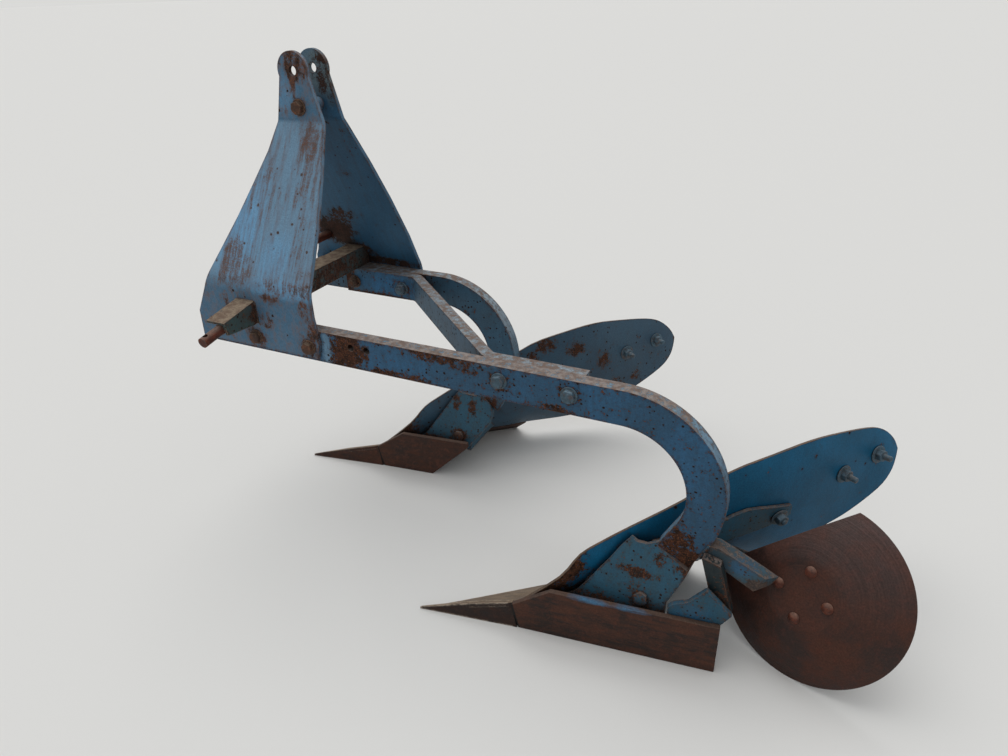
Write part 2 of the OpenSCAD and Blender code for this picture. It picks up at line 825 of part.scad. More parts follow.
// flat bar along the back of the moldboard, in steps that fall on the moldboard's own
module moldboard_strap() {
  front_depth = moldboard_thickness + seat_clearance;
  last = len(strap_places) - 1;
  low = [for (r = strap_places) [r[0], r[1]]];
  high = [for (r = strap_places) [r[0], r[2]]];
  steps = 3;
  stations = concat(
    [strap_places[0][0]],
    [for (i = [ceil(3 * strap_places[0][0]) : floor(3 * strap_places[last][0])]) i / 3],
    [strap_places[last][0]]
  );
  grid_solid(
    [for (a = stations) [for (j = [0 : steps])
      behind_face(a, blend(lookup(a, low), lookup(a, high), j / steps), front_depth)]],
    [for (a = stations) [for (j = [0 : steps])
      behind_face(a, blend(lookup(a, low), lookup(a, high), j / steps),
        front_depth + strap_thickness)]]
  );
}

module moldboard_strap_rear() {
  color("#2f6c8e") moldboard_strap();
}

module moldboard_strap_front() {
  color("#2f6c8e") at_front_bottom() moldboard_strap();
}

module moldboard_bolts() {
  for (b = moldboard_nuts) {
    normal = face_normal(b[0], b[1]);
    translate(behind_face(b[0], b[1], moldboard_thickness + b[2] + seat_clearance))
      rotate([0, acos(normal[2]), atan2(normal[1], normal[0])]) {
        cylinder(r = 12, h = 8, $fn = 6);
        cylinder(d = 12, h = 14, $fn = 24);
      }
  }
}

module moldboard_bolts_rear() {
  color("#6b4a35") moldboard_bolts();
}

module moldboard_bolts_front() {
  color("#6b4a35") at_front_bottom() moldboard_bolts();
}

module heel_plate() {
  color("#2a6a92")
    toed() across(landside_thickness, heel_thickness)
      polygon([
        [landside_length - 100, 12], [landside_length - 10, 12], [landside_length - 6, 104],
        [landside_length + 18, 142], [landside_length - 32, 193], [landside_length - 64, 154],
        [landside_length - 90, 143], [landside_length - 100, 132]
      ]);
}

module tail_bar() {
  color("#3a7ea3")
    difference() {
      across(beam_side, beam_thickness)
        polygon([
          [330, neck_tip_outer[1] + 36], [336, neck_tip_outer[1] + 66], [366, neck_tip_outer[1] + 65],
          [395, neck_tip_outer[1] + 52], [450, wheel_height + 59], [tail_end, wheel_height + 42],
          [tail_end, wheel_height + 22], [tail_end - 42, wheel_height + 18],
          [404, wheel_height + 38], [367, neck_tip_outer[1] + 25]
        ]);
      gooseneck(beam_front, beam_side - 1, beam_thickness + 2);
      // the end is cut off at a slant across and leans back towards its lower edge
      translate([tail_end - 26, beam_side, wheel_height + 58]) rotate([0, 0, -42]) rotate([0, 20, 0])
        translate([0, -2 * beam_thickness, -beam_top])
          cube([4 * beam_thickness, 6 * beam_thickness, 2 * beam_top]);
    }
}

// strut from the heel plate up to the tail bar, with a foot that reaches in to the plate
module heel_strut() {
  color("#24506b")
    difference() {
      union() {
        across(strut_face, beam_side - strut_face)
          polygon([
            [340, 246], [376, 236], [385, 210], [394, 175], [408, 131], [404, 118], [379, 118], [360, 176]
          ]);
        across(strut_face - 24, 25)
          polygon([[374, 118], [389, 118], [388, 150], [374, 146]]);
      }
      gooseneck(beam_front, beam_side - 60, beam_thickness + 100);
      toed() cube([2 * landside_length, landside_thickness + heel_thickness, beam_top]);
    }
}

module along_axle() {
  translate([wheel_station, wheel_side, wheel_height])
    rotate([0, 90 - axle_lift, axle_heading]) children();
}

module wheel_arm() {
  boss = [
    wheel_station + (boss_front - boss_length / 2) * cos(axle_lift) * cos(axle_heading),
    wheel_side + (boss_front - boss_length / 2) * cos(axle_lift) * sin(axle_heading)
  ];
  first = arm_corner - arm_start;
  second = boss - arm_corner;
  turn = atan2(second[1], second[0]) - atan2(first[1], first[0]);
  bend_radius = 20;
  tangent = (bend_radius + arm_thickness / 2) * tan(abs(turn) / 2);
  color("#2a5f80")
    difference() {
      union() {
        translate([arm_start[0], arm_start[1], arm_low]) rotate([0, 0, atan2(first[1], first[0])])
          linear_extrude(arm_depth)
            bent_strip([[norm(first) - tangent, turn, bend_radius], [norm(second) - tangent, 0, 0]],
              arm_thickness);
        along_axle() translate([0, 0, boss_front - boss_length])
          cylinder(r = boss_radius, h = boss_length, $fn = 64);
      }
      along_axle() translate([0, 0, boss_front - boss_length - 60])
        cylinder(r = axle_radius, h = boss_length + 120, $fn = 64);
      along_axle() translate([0, 0, boss_front]) cylinder(r = 60, h = 60, $fn = 32);
      toed() cube([2 * landside_length, landside_thickness + heel_thickness, beam_top]);
    }
}

module wheel_axle() {
  color("#4b4541")
    along_axle() {
      translate([0, 0, boss_front - boss_length - 14])
        cylinder(r = axle_radius, h = boss_length - boss_front + 14 + 26, $fn = 64);
      translate([0, 0, boss_front - boss_length - 12]) cylinder(r = 23, h = 12, $fn = 6);
    }
}

module wheel_hub() {
  color("#43302a")
    along_axle() difference() {
      union() {
        translate([0, 0, hub_rear]) cylinder(r = hub_radius, h = disc_face - disc_thickness - hub_rear, $fn = 64);
        translate([0, 0, disc_face - disc_thickness - hub_flange_thickness])
          cylinder(r = disc_flat - 2, h = hub_flange_thickness, $fn = 64);
      }
      translate([0, 0, hub_rear - 1])
        cylinder(r = axle_radius + axle_running_clearance, h = 32 - hub_rear + 1, $fn = 64);
      for (a = [45 : 90 : 315])
        rotate([0, 0, a + chord_heading]) translate([disc_bolt_square / sqrt(2), 0, 0])
          cylinder(d = 12.4, h = 100, $fn = 32);
    }
}

module disc_profile() {
  // outer and inner spheres of the pressed sheet, with its middle pressed flat
  difference() {
    union() {
      intersection() {
        translate([0, -sphere_depth]) circle(r = disc_sphere, $fn = 240);
        translate([0, 0]) square([disc_radius + 20, disc_face]);
      }
    }
    intersection() {
      translate([0, -sphere_depth]) circle(r = disc_sphere - disc_thickness, $fn = 240);
      translate([-1, -1]) square([disc_radius + 20, disc_face - disc_thickness + 1]);
    }
  }
}

module wheel_disc() {
  color("#41271f")
    along_axle() difference() {
      rotate_extrude($fn = 120) disc_profile();
      rotate([0, 0, chord_heading]) translate([disc_chord, -disc_radius, -10])
        cube([disc_radius, 2 * disc_radius, 100]);
      for (a = [45 : 90 : 315])
        rotate([0, 0, a + chord_heading]) translate([disc_bolt_square / sqrt(2), 0, 0])
          cylinder(d = 12.4, h = 100, $fn = 32);
    }
}

module wheel_bolts() {
  color("#5a3a2c")
    along_axle()
      for (a = [45 : 90 : 315])
        rotate([0, 0, a + chord_heading]) translate([disc_bolt_square / sqrt(2), 0, 0]) {
          translate([0, 0, disc_face]) intersection() {
            cylinder(r = 11, h = 7, $fn = 48);
            translate([0, 0, -7]) sphere(r = 14, $fn = 48);
          }
          translate([0, 0, disc_face - 28]) cylinder(d = 12, h = 28 + eps, $fn = 32);
          translate([0, 0, disc_face - disc_thickness - hub_flange_thickness - 9])
            cylinder(r = 10.5, h = 9, $fn = 6);
        }
}

placed() {
  beam_rear();
  beam_front();
  mast_plate_left();
  mast_plate_right();
  mast_spacer();
  mast_spacer_bolt();
  mast_bolts();
  tie_bar();
  cross_angle();
  link_pin_left();
  link_pin_right();
  brace();
  brace_bolts();
  frog_rear();
  frog_front();
  frog_rib_rear();
  frog_rib_front();
  share_rear();
  share_front();
  landside_rear();
  landside_front();
  moldboard_rear();
  moldboard_front();
  moldboard_strap_rear();
  moldboard_strap_front();
  moldboard_bolts_rear();
  moldboard_bolts_front();
  heel_plate();
  heel_strut();
  tail_bar();
  wheel_arm();
  wheel_axle();
  wheel_hub();
  wheel_disc();
  wheel_bolts();
}
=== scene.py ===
import math
import random

import bpy
from mathutils import Matrix, Vector


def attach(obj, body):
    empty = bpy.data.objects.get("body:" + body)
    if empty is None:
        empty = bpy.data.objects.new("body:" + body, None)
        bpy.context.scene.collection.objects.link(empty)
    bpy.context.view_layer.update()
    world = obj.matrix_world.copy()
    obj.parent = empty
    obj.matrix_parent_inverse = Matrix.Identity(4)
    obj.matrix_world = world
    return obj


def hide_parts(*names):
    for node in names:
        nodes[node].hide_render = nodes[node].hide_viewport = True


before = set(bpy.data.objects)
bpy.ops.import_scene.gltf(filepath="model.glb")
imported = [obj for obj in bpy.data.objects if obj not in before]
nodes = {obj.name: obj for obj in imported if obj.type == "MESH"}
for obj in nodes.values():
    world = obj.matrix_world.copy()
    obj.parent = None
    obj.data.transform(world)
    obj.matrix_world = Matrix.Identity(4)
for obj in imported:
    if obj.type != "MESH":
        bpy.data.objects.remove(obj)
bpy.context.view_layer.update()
random.seed(7)
print("plough: frame loaded with", len(nodes), "nodes")

# places are written in millimetres from the rear bottom's share joint: rearward, right, up
jointPlace = (-66.1525, 466.5871)
frontBottom = (-595, 385, 0)


def at(rearward, right, up):
    return Vector(((rearward - jointPlace[0]) / 1000, (right - jointPlace[1]) / 1000, up / 1000))


def linear(hexColour):
    # sRGB hex to the linear colour that sockets take
    channels = [int(hexColour[i:i + 2], 16) / 255 for i in (1, 3, 5)]
    return tuple(c / 12.92 if c < 0.04045 else ((c + 0.055) / 1.055) ** 2.4 for c in channels) + (1.0,)


def addNode(tree, kind, inputs=None, **settings):
    node = tree.nodes.new("ShaderNode" + kind)
    for name, value in settings.items():
        setattr(node, name, value)
    for socket, value in (inputs or {}).items():
        if isinstance(value, bpy.types.NodeSocket):
            tree.links.new(value, node.inputs[socket])
        else:
            node.inputs[socket].default_value = value
    return node


def perMetre(millimetres):
    # noise scale that gives blotches of about this size
    return 1000 / millimetres


def newMaterial(name):
    material = bpy.data.materials.new(name)
    material.use_nodes = True
    material.node_tree.nodes.clear()
    return material, material.node_tree


def closeMaterial(tree, colour, roughness, height, gloss, relief):
    # relief is the depth in millimetres that the height stands for
    bump = addNode(tree, "Bump", {"Strength": 0.75, "Distance": relief / 1000, "Height": height})
    shader = addNode(tree, "BsdfPrincipled", {
        "Base Color": colour, "Roughness": roughness, "Specular IOR Level": gloss, "Normal": bump.outputs[0]})
    addNode(tree, "OutputMaterial", {"Surface": shader.outputs[0]})


# a spot's rim: how far noise pushes it about, and between which distances from its middle it fades
spotRim = {"push": 1.1, "outer": 1.85, "inner": 1.05}


def spotsAt(tree, coords, places, ragged):
    # soft spots at given places, [place, reach in mm along each axis, strength], with ragged rims
    total = None
    for place, reach, strength in places:
        offset = addNode(tree, "VectorMath", {0: coords, 1: at(*place)}, operation="SUBTRACT")
        scaled = addNode(tree, "VectorMath", {0: offset.outputs[0], 1: [perMetre(r) for r in reach]},
                         operation="MULTIPLY")
        far = addNode(tree, "VectorMath", {0: scaled.outputs[0]}, operation="LENGTH")
        uneven = addNode(tree, "Math", {0: ragged, 1: spotRim["push"], 2: far.outputs["Value"]},
                         operation="MULTIPLY_ADD")
        spot = addNode(tree, "MapRange", {
            "Value": uneven.outputs[0], "From Min": spotRim["outer"], "From Max": spotRim["inner"],
            "To Max": strength}).outputs[0]
        total = spot if total is None else addNode(
            tree, "Math", {0: total, 1: spot}, operation="MAXIMUM").outputs[0]
    return total


# what all the enamels share: sizes of patterns, reach of edges and corners and depth of relief in millimetres, then
# how wide and strong the stain round a chip is, how deep a chip lies, and how rough and glossy the surface is
film = {"broad": 130, "ragged": 15, "grit": 3.2, "rimReach": 2.2, "occlusionReach": 50, "speckPush": 6, "relief": 0.7,
        "haloWidth": 0.075, "haloShare": 0.6, "chipDepth": -0.45, "bareRough": 0.9, "gloss": 0.35}


# Alkyd enamel sprayed over mill scale, then years outdoors: the film is sun-faded and chalky where it looks up,
# has chipped off in round specks and in scabs that start from every edge, and brown rust bleeds round each chip.
def chippedEnamel(name, look):
    material, tree = newMaterial(name)
    coords = addNode(tree, "TexCoord").outputs["Object"]
    surface = addNode(tree, "NewGeometry")
    upward = addNode(tree, "SeparateXYZ", {0: surface.outputs["Normal"]}).outputs[2]

    broad = addNode(tree, "TexNoise", {
        "Vector": coords, "Scale": perMetre(film["broad"]), "Detail": 3.0}).outputs["Fac"]
    scab = addNode(tree, "TexNoise", {
        "Vector": coords, "Scale": perMetre(look["scab"]), "Detail": 6.0, "Roughness": 0.7}).outputs["Fac"]
    ragged = addNode(tree, "TexNoise", {
        "Vector": coords, "Scale": perMetre(film["ragged"]), "Detail": 4.0, "Roughness": 0.7})
    grit = addNode(tree, "TexNoise", {
        "Vector": coords, "Scale": perMetre(film["grit"]), "Detail": 2.5, "Roughness": 0.65}).outputs["Fac"]
    # rub marks and rain streaks, long one way: cell sizes in metres along the turned axes
    drawn = addNode(tree, "Mapping", {
        "Vector": coords, "Rotation": look.get("streakTurn", (0, 0, 0)),
        "Scale": look["streakSize"]}, vector_type="TEXTURE")
    streak = addNode(tree, "TexNoise", {
        "Vector": drawn.outputs[0], "Scale": 1.0, "Detail": 4.0, "Roughness": 0.68}).outputs["Fac"]

    # corners: the rounded normal departs from the true one near an edge, far out for scabs and close in for rub
    wide = addNode(tree, "Bevel", {"Radius": look["edgeReach"] / 1000}, samples=5).outputs[0]
    wideAgree = addNode(tree, "VectorMath", {0: wide, 1: surface.outputs["Normal"]}, operation="DOT_PRODUCT")
    edge = addNode(tree, "MapRange", {
        "Value": wideAgree.outputs["Value"], "From Min": 0.999, "From Max": 0.86,
        "To Max": look["edgeWear"]}).outputs[0]
    close = addNode(tree, "Bevel", {"Radius": film["rimReach"] / 1000}, samples=4).outputs[0]
    closeAgree = addNode(tree, "VectorMath", {0: close, 1: surface.outputs["Normal"]}, operation="DOT_PRODUCT")
    rim = addNode(tree, "MapRange", {
        "Value": closeAgree.outputs["Value"], "From Min": 0.985, "From Max": 0.86}).outputs[0]
    # corners between pieces, found by ambient occlusion: rust starts there, and there the colour is darkened as painted
    # shade
    occlusion = addNode(tree, "AmbientOcclusion", {"Distance": film["occlusionReach"] / 1000}, samples=5).outputs["AO"]
    crease = addNode(tree, "MapRange", {"Value": occlusion, "From Min": 0.62, "From Max": 0.2}).outputs[0]
    top = addNode(tree, "MapRange", {
        "Value": upward, "From Min": 0.6, "From Max": 0.93, "To Max": look["topWear"]}).outputs[0]

    wear = addNode(tree, "Math", {0: scab, 1: look["scabShare"]}, operation="MULTIPLY").outputs[0]
    wear = addNode(tree, "Math", {0: streak, 1: look["streakShare"], 2: wear}, operation="MULTIPLY_ADD").outputs[0]
    wear = addNode(tree, "Math", {0: grit, 1: look["gritShare"], 2: wear}, operation="MULTIPLY_ADD").outputs[0]
    wear = addNode(tree, "Math", {0: wear, 1: edge}, operation="ADD").outputs[0]
    wear = addNode(tree, "Math", {0: wear, 1: top}, operation="ADD").outputs[0]
    wear = addNode(tree, "Math", {0: crease, 1: look["creaseWear"], 2: wear}, operation="MULTIPLY_ADD").outputs[0]
    spots = spotsAt(tree, coords, look["rustSpots"], ragged.outputs["Fac"])
    wear = addNode(tree, "Math", {0: wear, 1: spots}, operation="ADD").outputs[0]
    lost = addNode(tree, "MapRange", {
        "Value": wear, "From Min": look["limit"] - look["soft"] * 0.5,
        "From Max": look["limit"] + look["soft"]}).outputs[0]
    halo = addNode(tree, "MapRange", {
        "Value": wear, "From Min": look["limit"] - film["haloWidth"], "From Max": look["limit"] + 0.005,
        "To Max": film["haloShare"]}).outputs[0]

    # stone chips: one round speck in some of the cells, of random size, its outline pushed about by noise
    push = [film["speckPush"] / 1000] * 3
    pushed = addNode(tree, "VectorMath", {0: ragged.outputs["Color"], 1: push, 2: coords},
                     operation="MULTIPLY_ADD").outputs[0]
    cells = addNode(tree, "TexVoronoi", {"Vector": pushed, "Scale": perMetre(look["speckGap"]), "Randomness": 1.0})
    chance = addNode(tree, "SeparateXYZ", {0: cells.outputs["Color"]}).outputs[0]
    reach = addNode(tree, "Math", {0: chance, 1: look["speckSize"], 2: -look["speckMiss"]}, operation="MULTIPLY_ADD")
    inside = addNode(tree, "Math", {0: reach.outputs[0], 1: cells.outputs["Distance"]}, operation="SUBTRACT")
    speck = addNode(tree, "MapRange", {"Value": inside.outputs[0], "From Min": -0.01, "From Max": 0.05}).outputs[0]
    speckHalo = addNode(tree, "MapRange", {
        "Value": inside.outputs[0], "From Min": -0.16, "From Max": 0.0, "To Max": 0.3}).outputs[0]
    lost = addNode(tree, "Math", {0: lost, 1: speck}, operation="MAXIMUM").outputs[0]
    halo = addNode(tree, "Math", {0: halo, 1: speckHalo}, operation="MAXIMUM").outputs[0]

    # the film: two blues in broad drifts, chalky towards the sky, streaked, grey-brown where it is nearly through
    drift = addNode(tree, "MapRange", {"Value": broad, "From Min": 0.38, "From Max": 0.62}).outputs[0]
    enamel = addNode(tree, "Mix", {0: drift, 6: linear(look["enamel"]), 7: linear(look["enamelDeep"])},
                     data_type="RGBA").outputs[2]
    fade = addNode(tree, "MapRange", {
        "Value": upward, "From Min": -0.1, "From Max": 0.85, "To Max": look["chalk"]}).outputs[0]
    enamel = addNode(tree, "Mix", {0: fade, 6: enamel, 7: linear(look["enamelFaded"])}, data_type="RGBA").outputs[2]
    if look.get("cleanSpots"):
        clean = spotsAt(tree, coords, look["cleanSpots"], ragged.outputs["Fac"])
        enamel = addNode(tree, "Mix", {0: clean, 6: enamel, 7: linear(look["enamelClean"])},
                         data_type="RGBA").outputs[2]
    run = addNode(tree, "MapRange", {
        "Value": streak, "From Min": 0.42, "From Max": 0.68, "To Max": look["grimeShare"]}).outputs[0]
    enamel = addNode(tree, "Mix", {0: run, 6: enamel, 7: linear(look["grime"])}, data_type="RGBA").outputs[2]
    dust = addNode(tree, "MapRange", {"Value": grit, "From Min": 0.3, "From Max": 0.7, "To Min": 0.82, "To Max": 1.2})
    enamel = addNode(tree, "VectorMath", {0: enamel, 1: dust.outputs[0]}, operation="MULTIPLY").outputs[0]
    enamel = addNode(tree, "Mix", {0: halo, 6: enamel, 7: linear(look["stain"])}, data_type="RGBA").outputs[2]

    # what shows in the chips: dark scale and brown rust, dry and tan on the faces that look up
    deep = addNode(tree, "MapRange", {"Value": ragged.outputs["Fac"], "From Min": 0.4, "From Max": 0.6}).outputs[0]
    rust = addNode(tree, "Mix", {0: deep, 6: linear(look["rustDark"]), 7: linear(look["rust"])},
                   data_type="RGBA").outputs[2]
    bright = addNode(tree, "MapRange", {"Value": grit, "From Min": 0.52, "From Max": 0.7, "To Max": 0.7}).outputs[0]
    rust = addNode(tree, "Mix", {0: bright, 6: rust, 7: linear(look["rustBright"])}, data_type="RGBA").outputs[2]
    rust = addNode(tree, "Mix", {0: speck, 6: rust, 7: linear(look["rustDark"])}, data_type="RGBA").outputs[2]
    dry = addNode(tree, "MapRange", {
        "Value": upward, "From Min": look["drySlope"], "From Max": 0.92, "To Max": look["dry"]}).outputs[0]
    bareTone = addNode(tree, "Mix", {0: deep, 6: linear(look["bare"]), 7: linear(look["bareDark"])},
                       data_type="RGBA").outputs[2]
    rust = addNode(tree, "Mix", {0: dry, 6: rust, 7: bareTone}, data_type="RGBA").outputs[2]
    colour = addNode(tree, "Mix", {0: lost, 6: enamel, 7: rust}, data_type="RGBA").outputs[2]
    # a thin line of rubbed steel and rust on the very edge, broken up
    rimGate = addNode(tree, "MapRange", {"Value": scab, "From Min": 0.38, "From Max": 0.56}).outputs[0]
    rimShown = addNode(tree, "Math", {0: rim, 1: rimGate}, operation="MULTIPLY").outputs[0]
    rimShown = addNode(tree, "Math", {0: rimShown, 1: look["rimShare"]}, operation="MULTIPLY").outputs[0]
    colour = addNode(tree, "Mix", {0: rimShown, 6: colour, 7: linear(look["rimTone"])}, data_type="RGBA").outputs[2]
    # painted shade: the colour is darkened to half in the occluded corners
    paintedCreaseShade = addNode(tree, "MapRange", {"Value": crease, "To Min": 1.0, "To Max": 0.5})
    colour = addNode(tree, "VectorMath", {0: colour, 1: paintedCreaseShade.outputs[0]}, operation="MULTIPLY").outputs[0]

    roughness = addNode(tree, "MapRange", {
        "Value": lost, "To Min": look["rough"], "To Max": film["bareRough"]}).outputs[0]
    height = addNode(tree, "Math", {0: lost, 1: film["chipDepth"], 2: 0.5}, operation="MULTIPLY_ADD").outputs[0]
    height = addNode(tree, "Math", {0: grit, 1: 0.35, 2: height}, operation="MULTIPLY_ADD").outputs[0]
    height = addNode(tree, "Math", {0: scab, 1: 0.9, 2: height}, operation="MULTIPLY_ADD").outputs[0]
    closeMaterial(tree, colour, roughness, height, look.get("gloss", film["gloss"]), film["relief"])
    return material


# what all the bare steels share: sizes of patterns, reach of edges and corners, depth of relief and widths at the
# joint between share and landside in millimetres; the joint runs this much to the rear for each step down
coat = {"broad": 60, "ragged": 13, "pits": 3.4, "rimReach": 3, "occlusionReach": 40, "relief": 1.1,
        "jointHalf": 2.8, "jointFade": 4.5, "jointClear": 9, "jointRim": 13, "jointLean": 0.232, "soil": "#0e0b0a",
        "waver": 5, "streakShare": 0.55, "gloss": 0.3}


# Hot-rolled steel polished by the soil and rusted again: a thin even brown coat with fine drawn streaks the way
# the soil ran, tan and drier where rain and sun reach it, with pits, and no real shine left.
def scouredRust(name, look):
    material, tree = newMaterial(name)
    coords = addNode(tree, "TexCoord").outputs["Object"]
    surface = addNode(tree, "NewGeometry")
    upward = addNode(tree, "SeparateXYZ", {0: surface.outputs["Normal"]}).outputs[2]
    turned = addNode(tree, "Mapping", {
        "Vector": coords, "Location": look.get("centre", (0, 0, 0)), "Rotation": look.get("streakTurn", (0, 0, 0)),
        "Scale": look["streakSize"]}, vector_type="TEXTURE")
    way = turned.outputs[0]
    if look.get("rings"):
        # distance from the axle makes the streaks run round it
        flat = addNode(tree, "VectorMath", {0: way, 1: (1, 1, 0)}, operation="MULTIPLY").outputs[0]
        radius = addNode(tree, "VectorMath", {0: flat}, operation="LENGTH").outputs["Value"]
        waver = addNode(tree, "VectorMath", {0: coords, 1: [coat["waver"]] * 3}, operation="MULTIPLY").outputs[0]
        way = addNode(tree, "VectorMath", {0: radius, 1: (1, 1, 1), 2: waver}, operation="MULTIPLY_ADD").outputs[0]
    streak = addNode(tree, "TexNoise", {"Vector": way, "Scale": 1.0, "Detail": 5.0, "Roughness": 0.66}).outputs["Fac"]
    broad = addNode(tree, "TexNoise", {
        "Vector": coords, "Scale": perMetre(coat["broad"]), "Detail": 5.0}).outputs["Fac"]
    ragged = addNode(tree, "TexNoise", {
        "Vector": coords, "Scale": perMetre(coat["ragged"]), "Detail": 4.0, "Roughness": 0.7}).outputs["Fac"]
    pits = addNode(tree, "TexNoise", {
        "Vector": coords, "Scale": perMetre(coat["pits"]), "Detail": 3.0, "Roughness": 0.7}).outputs["Fac"]

    drawnShare = look.get("streakShare", coat["streakShare"])
    tone = addNode(tree, "Math", {0: streak, 1: drawnShare}, operation="MULTIPLY").outputs[0]
    tone = addNode(tree, "Math", {0: broad, 1: 1 - drawnShare, 2: tone}, operation="MULTIPLY_ADD").outputs[0]
    tone = addNode(tree, "MapRange", {"Value": tone, "From Min": 0.41, "From Max": 0.6}).outputs[0]
    colour = addNode(tree, "Mix", {0: tone, 6: linear(look["dark"]), 7: linear(look["brown"])},
                     data_type="RGBA").outputs[2]
    ruddy = addNode(tree, "MapRange", {
        "Value": ragged, "From Min": 0.5, "From Max": 0.64, "To Max": look["ruddyShare"]}).outputs[0]
    colour = addNode(tree, "Mix", {0: ruddy, 6: colour, 7: linear(look["ruddy"])}, data_type="RGBA").outputs[2]
    sky = addNode(tree, "MapRange", {
        "Value": upward, "From Min": look["paleSlope"], "From Max": 0.95, "To Max": look["topPale"]}).outputs[0]
    brushed = addNode(tree, "MapRange", {"Value": streak, "From Min": 0.36, "From Max": 0.6, "To Min": 0.45}).outputs[0]
    sky = addNode(tree, "Math", {0: sky, 1: brushed}, operation="MULTIPLY").outputs[0]
    colour = addNode(tree, "Mix", {0: sky, 6: colour, 7: linear(look["pale"])}, data_type="RGBA").outputs[2]
    if look.get("paintSpots"):
        # flecks of the old enamel that the soil has left
        paint = spotsAt(tree, coords, look["paintSpots"], ragged)
        gate = addNode(tree, "MapRange", {"Value": streak, "From Min": 0.34, "From Max": 0.52}).outputs[0]
        paint = addNode(tree, "Math", {0: paint, 1: gate}, operation="MULTIPLY").outputs[0]
        colour = addNode(tree, "Mix", {0: paint, 6: colour, 7: linear(look["paintTone"])},
                         data_type="RGBA").outputs[2]
    if "joint" in look:
        # distance to the slanted joint between share and landside
        along = addNode(tree, "VectorMath", {0: coords, 1: (1, 0, coat["jointLean"])},
                        operation="DOT_PRODUCT").outputs["Value"]
        away = addNode(tree, "Math", {0: along, 1: at(look["joint"], 0, 0)[0]}, operation="SUBTRACT").outputs[0]
        away = addNode(tree, "Math", {0: away}, operation="ABSOLUTE").outputs[0]
    close = addNode(tree, "Bevel", {"Radius": look.get("rimReach", coat["rimReach"]) / 1000}, samples=5).outputs[0]
    closeAgree = addNode(tree, "VectorMath", {0: close, 1: surface.outputs["Normal"]}, operation="DOT_PRODUCT")
    rim = addNode(tree, "MapRange", {
        "Value": closeAgree.outputs["Value"], "From Min": 0.99, "From Max": 0.84,
        "To Max": look["rimShare"]}).outputs[0]
    rimGate = addNode(tree, "MapRange", {"Value": ragged, "From Min": 0.36, "From Max": 0.54}).outputs[0]
    rim = addNode(tree, "Math", {0: rim, 1: rimGate}, operation="MULTIPLY").outputs[0]
    if "joint" in look:
        # the pale rubbed rim stops short of it
        apart = addNode(tree, "MapRange", {
            "Value": away, "From Min": coat["jointClear"] / 1000, "From Max": coat["jointRim"] / 1000}).outputs[0]
        rim = addNode(tree, "Math", {0: rim, 1: apart}, operation="MULTIPLY").outputs[0]
    colour = addNode(tree, "Mix", {0: rim, 6: colour, 7: linear(look["edgeTone"])}, data_type="RGBA").outputs[2]
    if "joint" in look:
        # black soil is packed into it, only on the faces that look left
        packed = addNode(tree, "MapRange", {
            "Value": away, "From Min": coat["jointFade"] / 1000, "From Max": coat["jointHalf"] / 1000}).outputs[0]
        sideways = addNode(tree, "SeparateXYZ", {0: surface.outputs["Normal"]}).outputs[1]
        outer = addNode(tree, "MapRange", {"Value": sideways, "From Min": -0.05, "From Max": -0.25}).outputs[0]
        packed = addNode(tree, "Math", {0: packed, 1: outer}, operation="MULTIPLY").outputs[0]
        colour = addNode(tree, "Mix", {0: packed, 6: colour, 7: linear(coat["soil"])}, data_type="RGBA").outputs[2]
    # painted shade: the colour is darkened down to half in corners that ambient occlusion finds
    occlusion = addNode(tree, "AmbientOcclusion", {"Distance": coat["occlusionReach"] / 1000}, samples=5).outputs["AO"]
    paintedCreaseShade = addNode(tree, "MapRange", {
        "Value": occlusion, "From Min": 0.2, "From Max": 0.62, "To Min": 0.5}).outputs[0]
    grain = addNode(tree, "MapRange", {"Value": pits, "From Min": 0.3, "From Max": 0.7, "To Min": 0.72, "To Max": 1.3})
    colour = addNode(tree, "VectorMath", {0: colour, 1: paintedCreaseShade}, operation="MULTIPLY").outputs[0]
    colour = addNode(tree, "VectorMath", {0: colour, 1: grain.outputs[0]}, operation="MULTIPLY").outputs[0]

    roughness = addNode(tree, "MapRange", {
        "Value": tone, "To Min": look["roughLow"], "To Max": look["roughHigh"]}).outputs[0]
    height = addNode(tree, "Math", {0: pits, 1: 0.6, 2: streak}, operation="MULTIPLY_ADD").outputs[0]
    height = addNode(tree, "Math", {0: ragged, 1: 0.7, 2: height}, operation="MULTIPLY_ADD").outputs[0]
    closeMaterial(tree, colour, roughness, height, coat["gloss"], coat["relief"])
    return material


# what shows under every enamel unless its own look says otherwise
rustTones = {"rustDark": "#20150f", "rust": "#43271b", "rustBright": "#7a4c31", "stain": "#3d3430",
             "bare": "#948a84", "bareDark": "#75655c", "rimTone": "#6b5548", "rimShare": 0.8, "soft": 0.012}

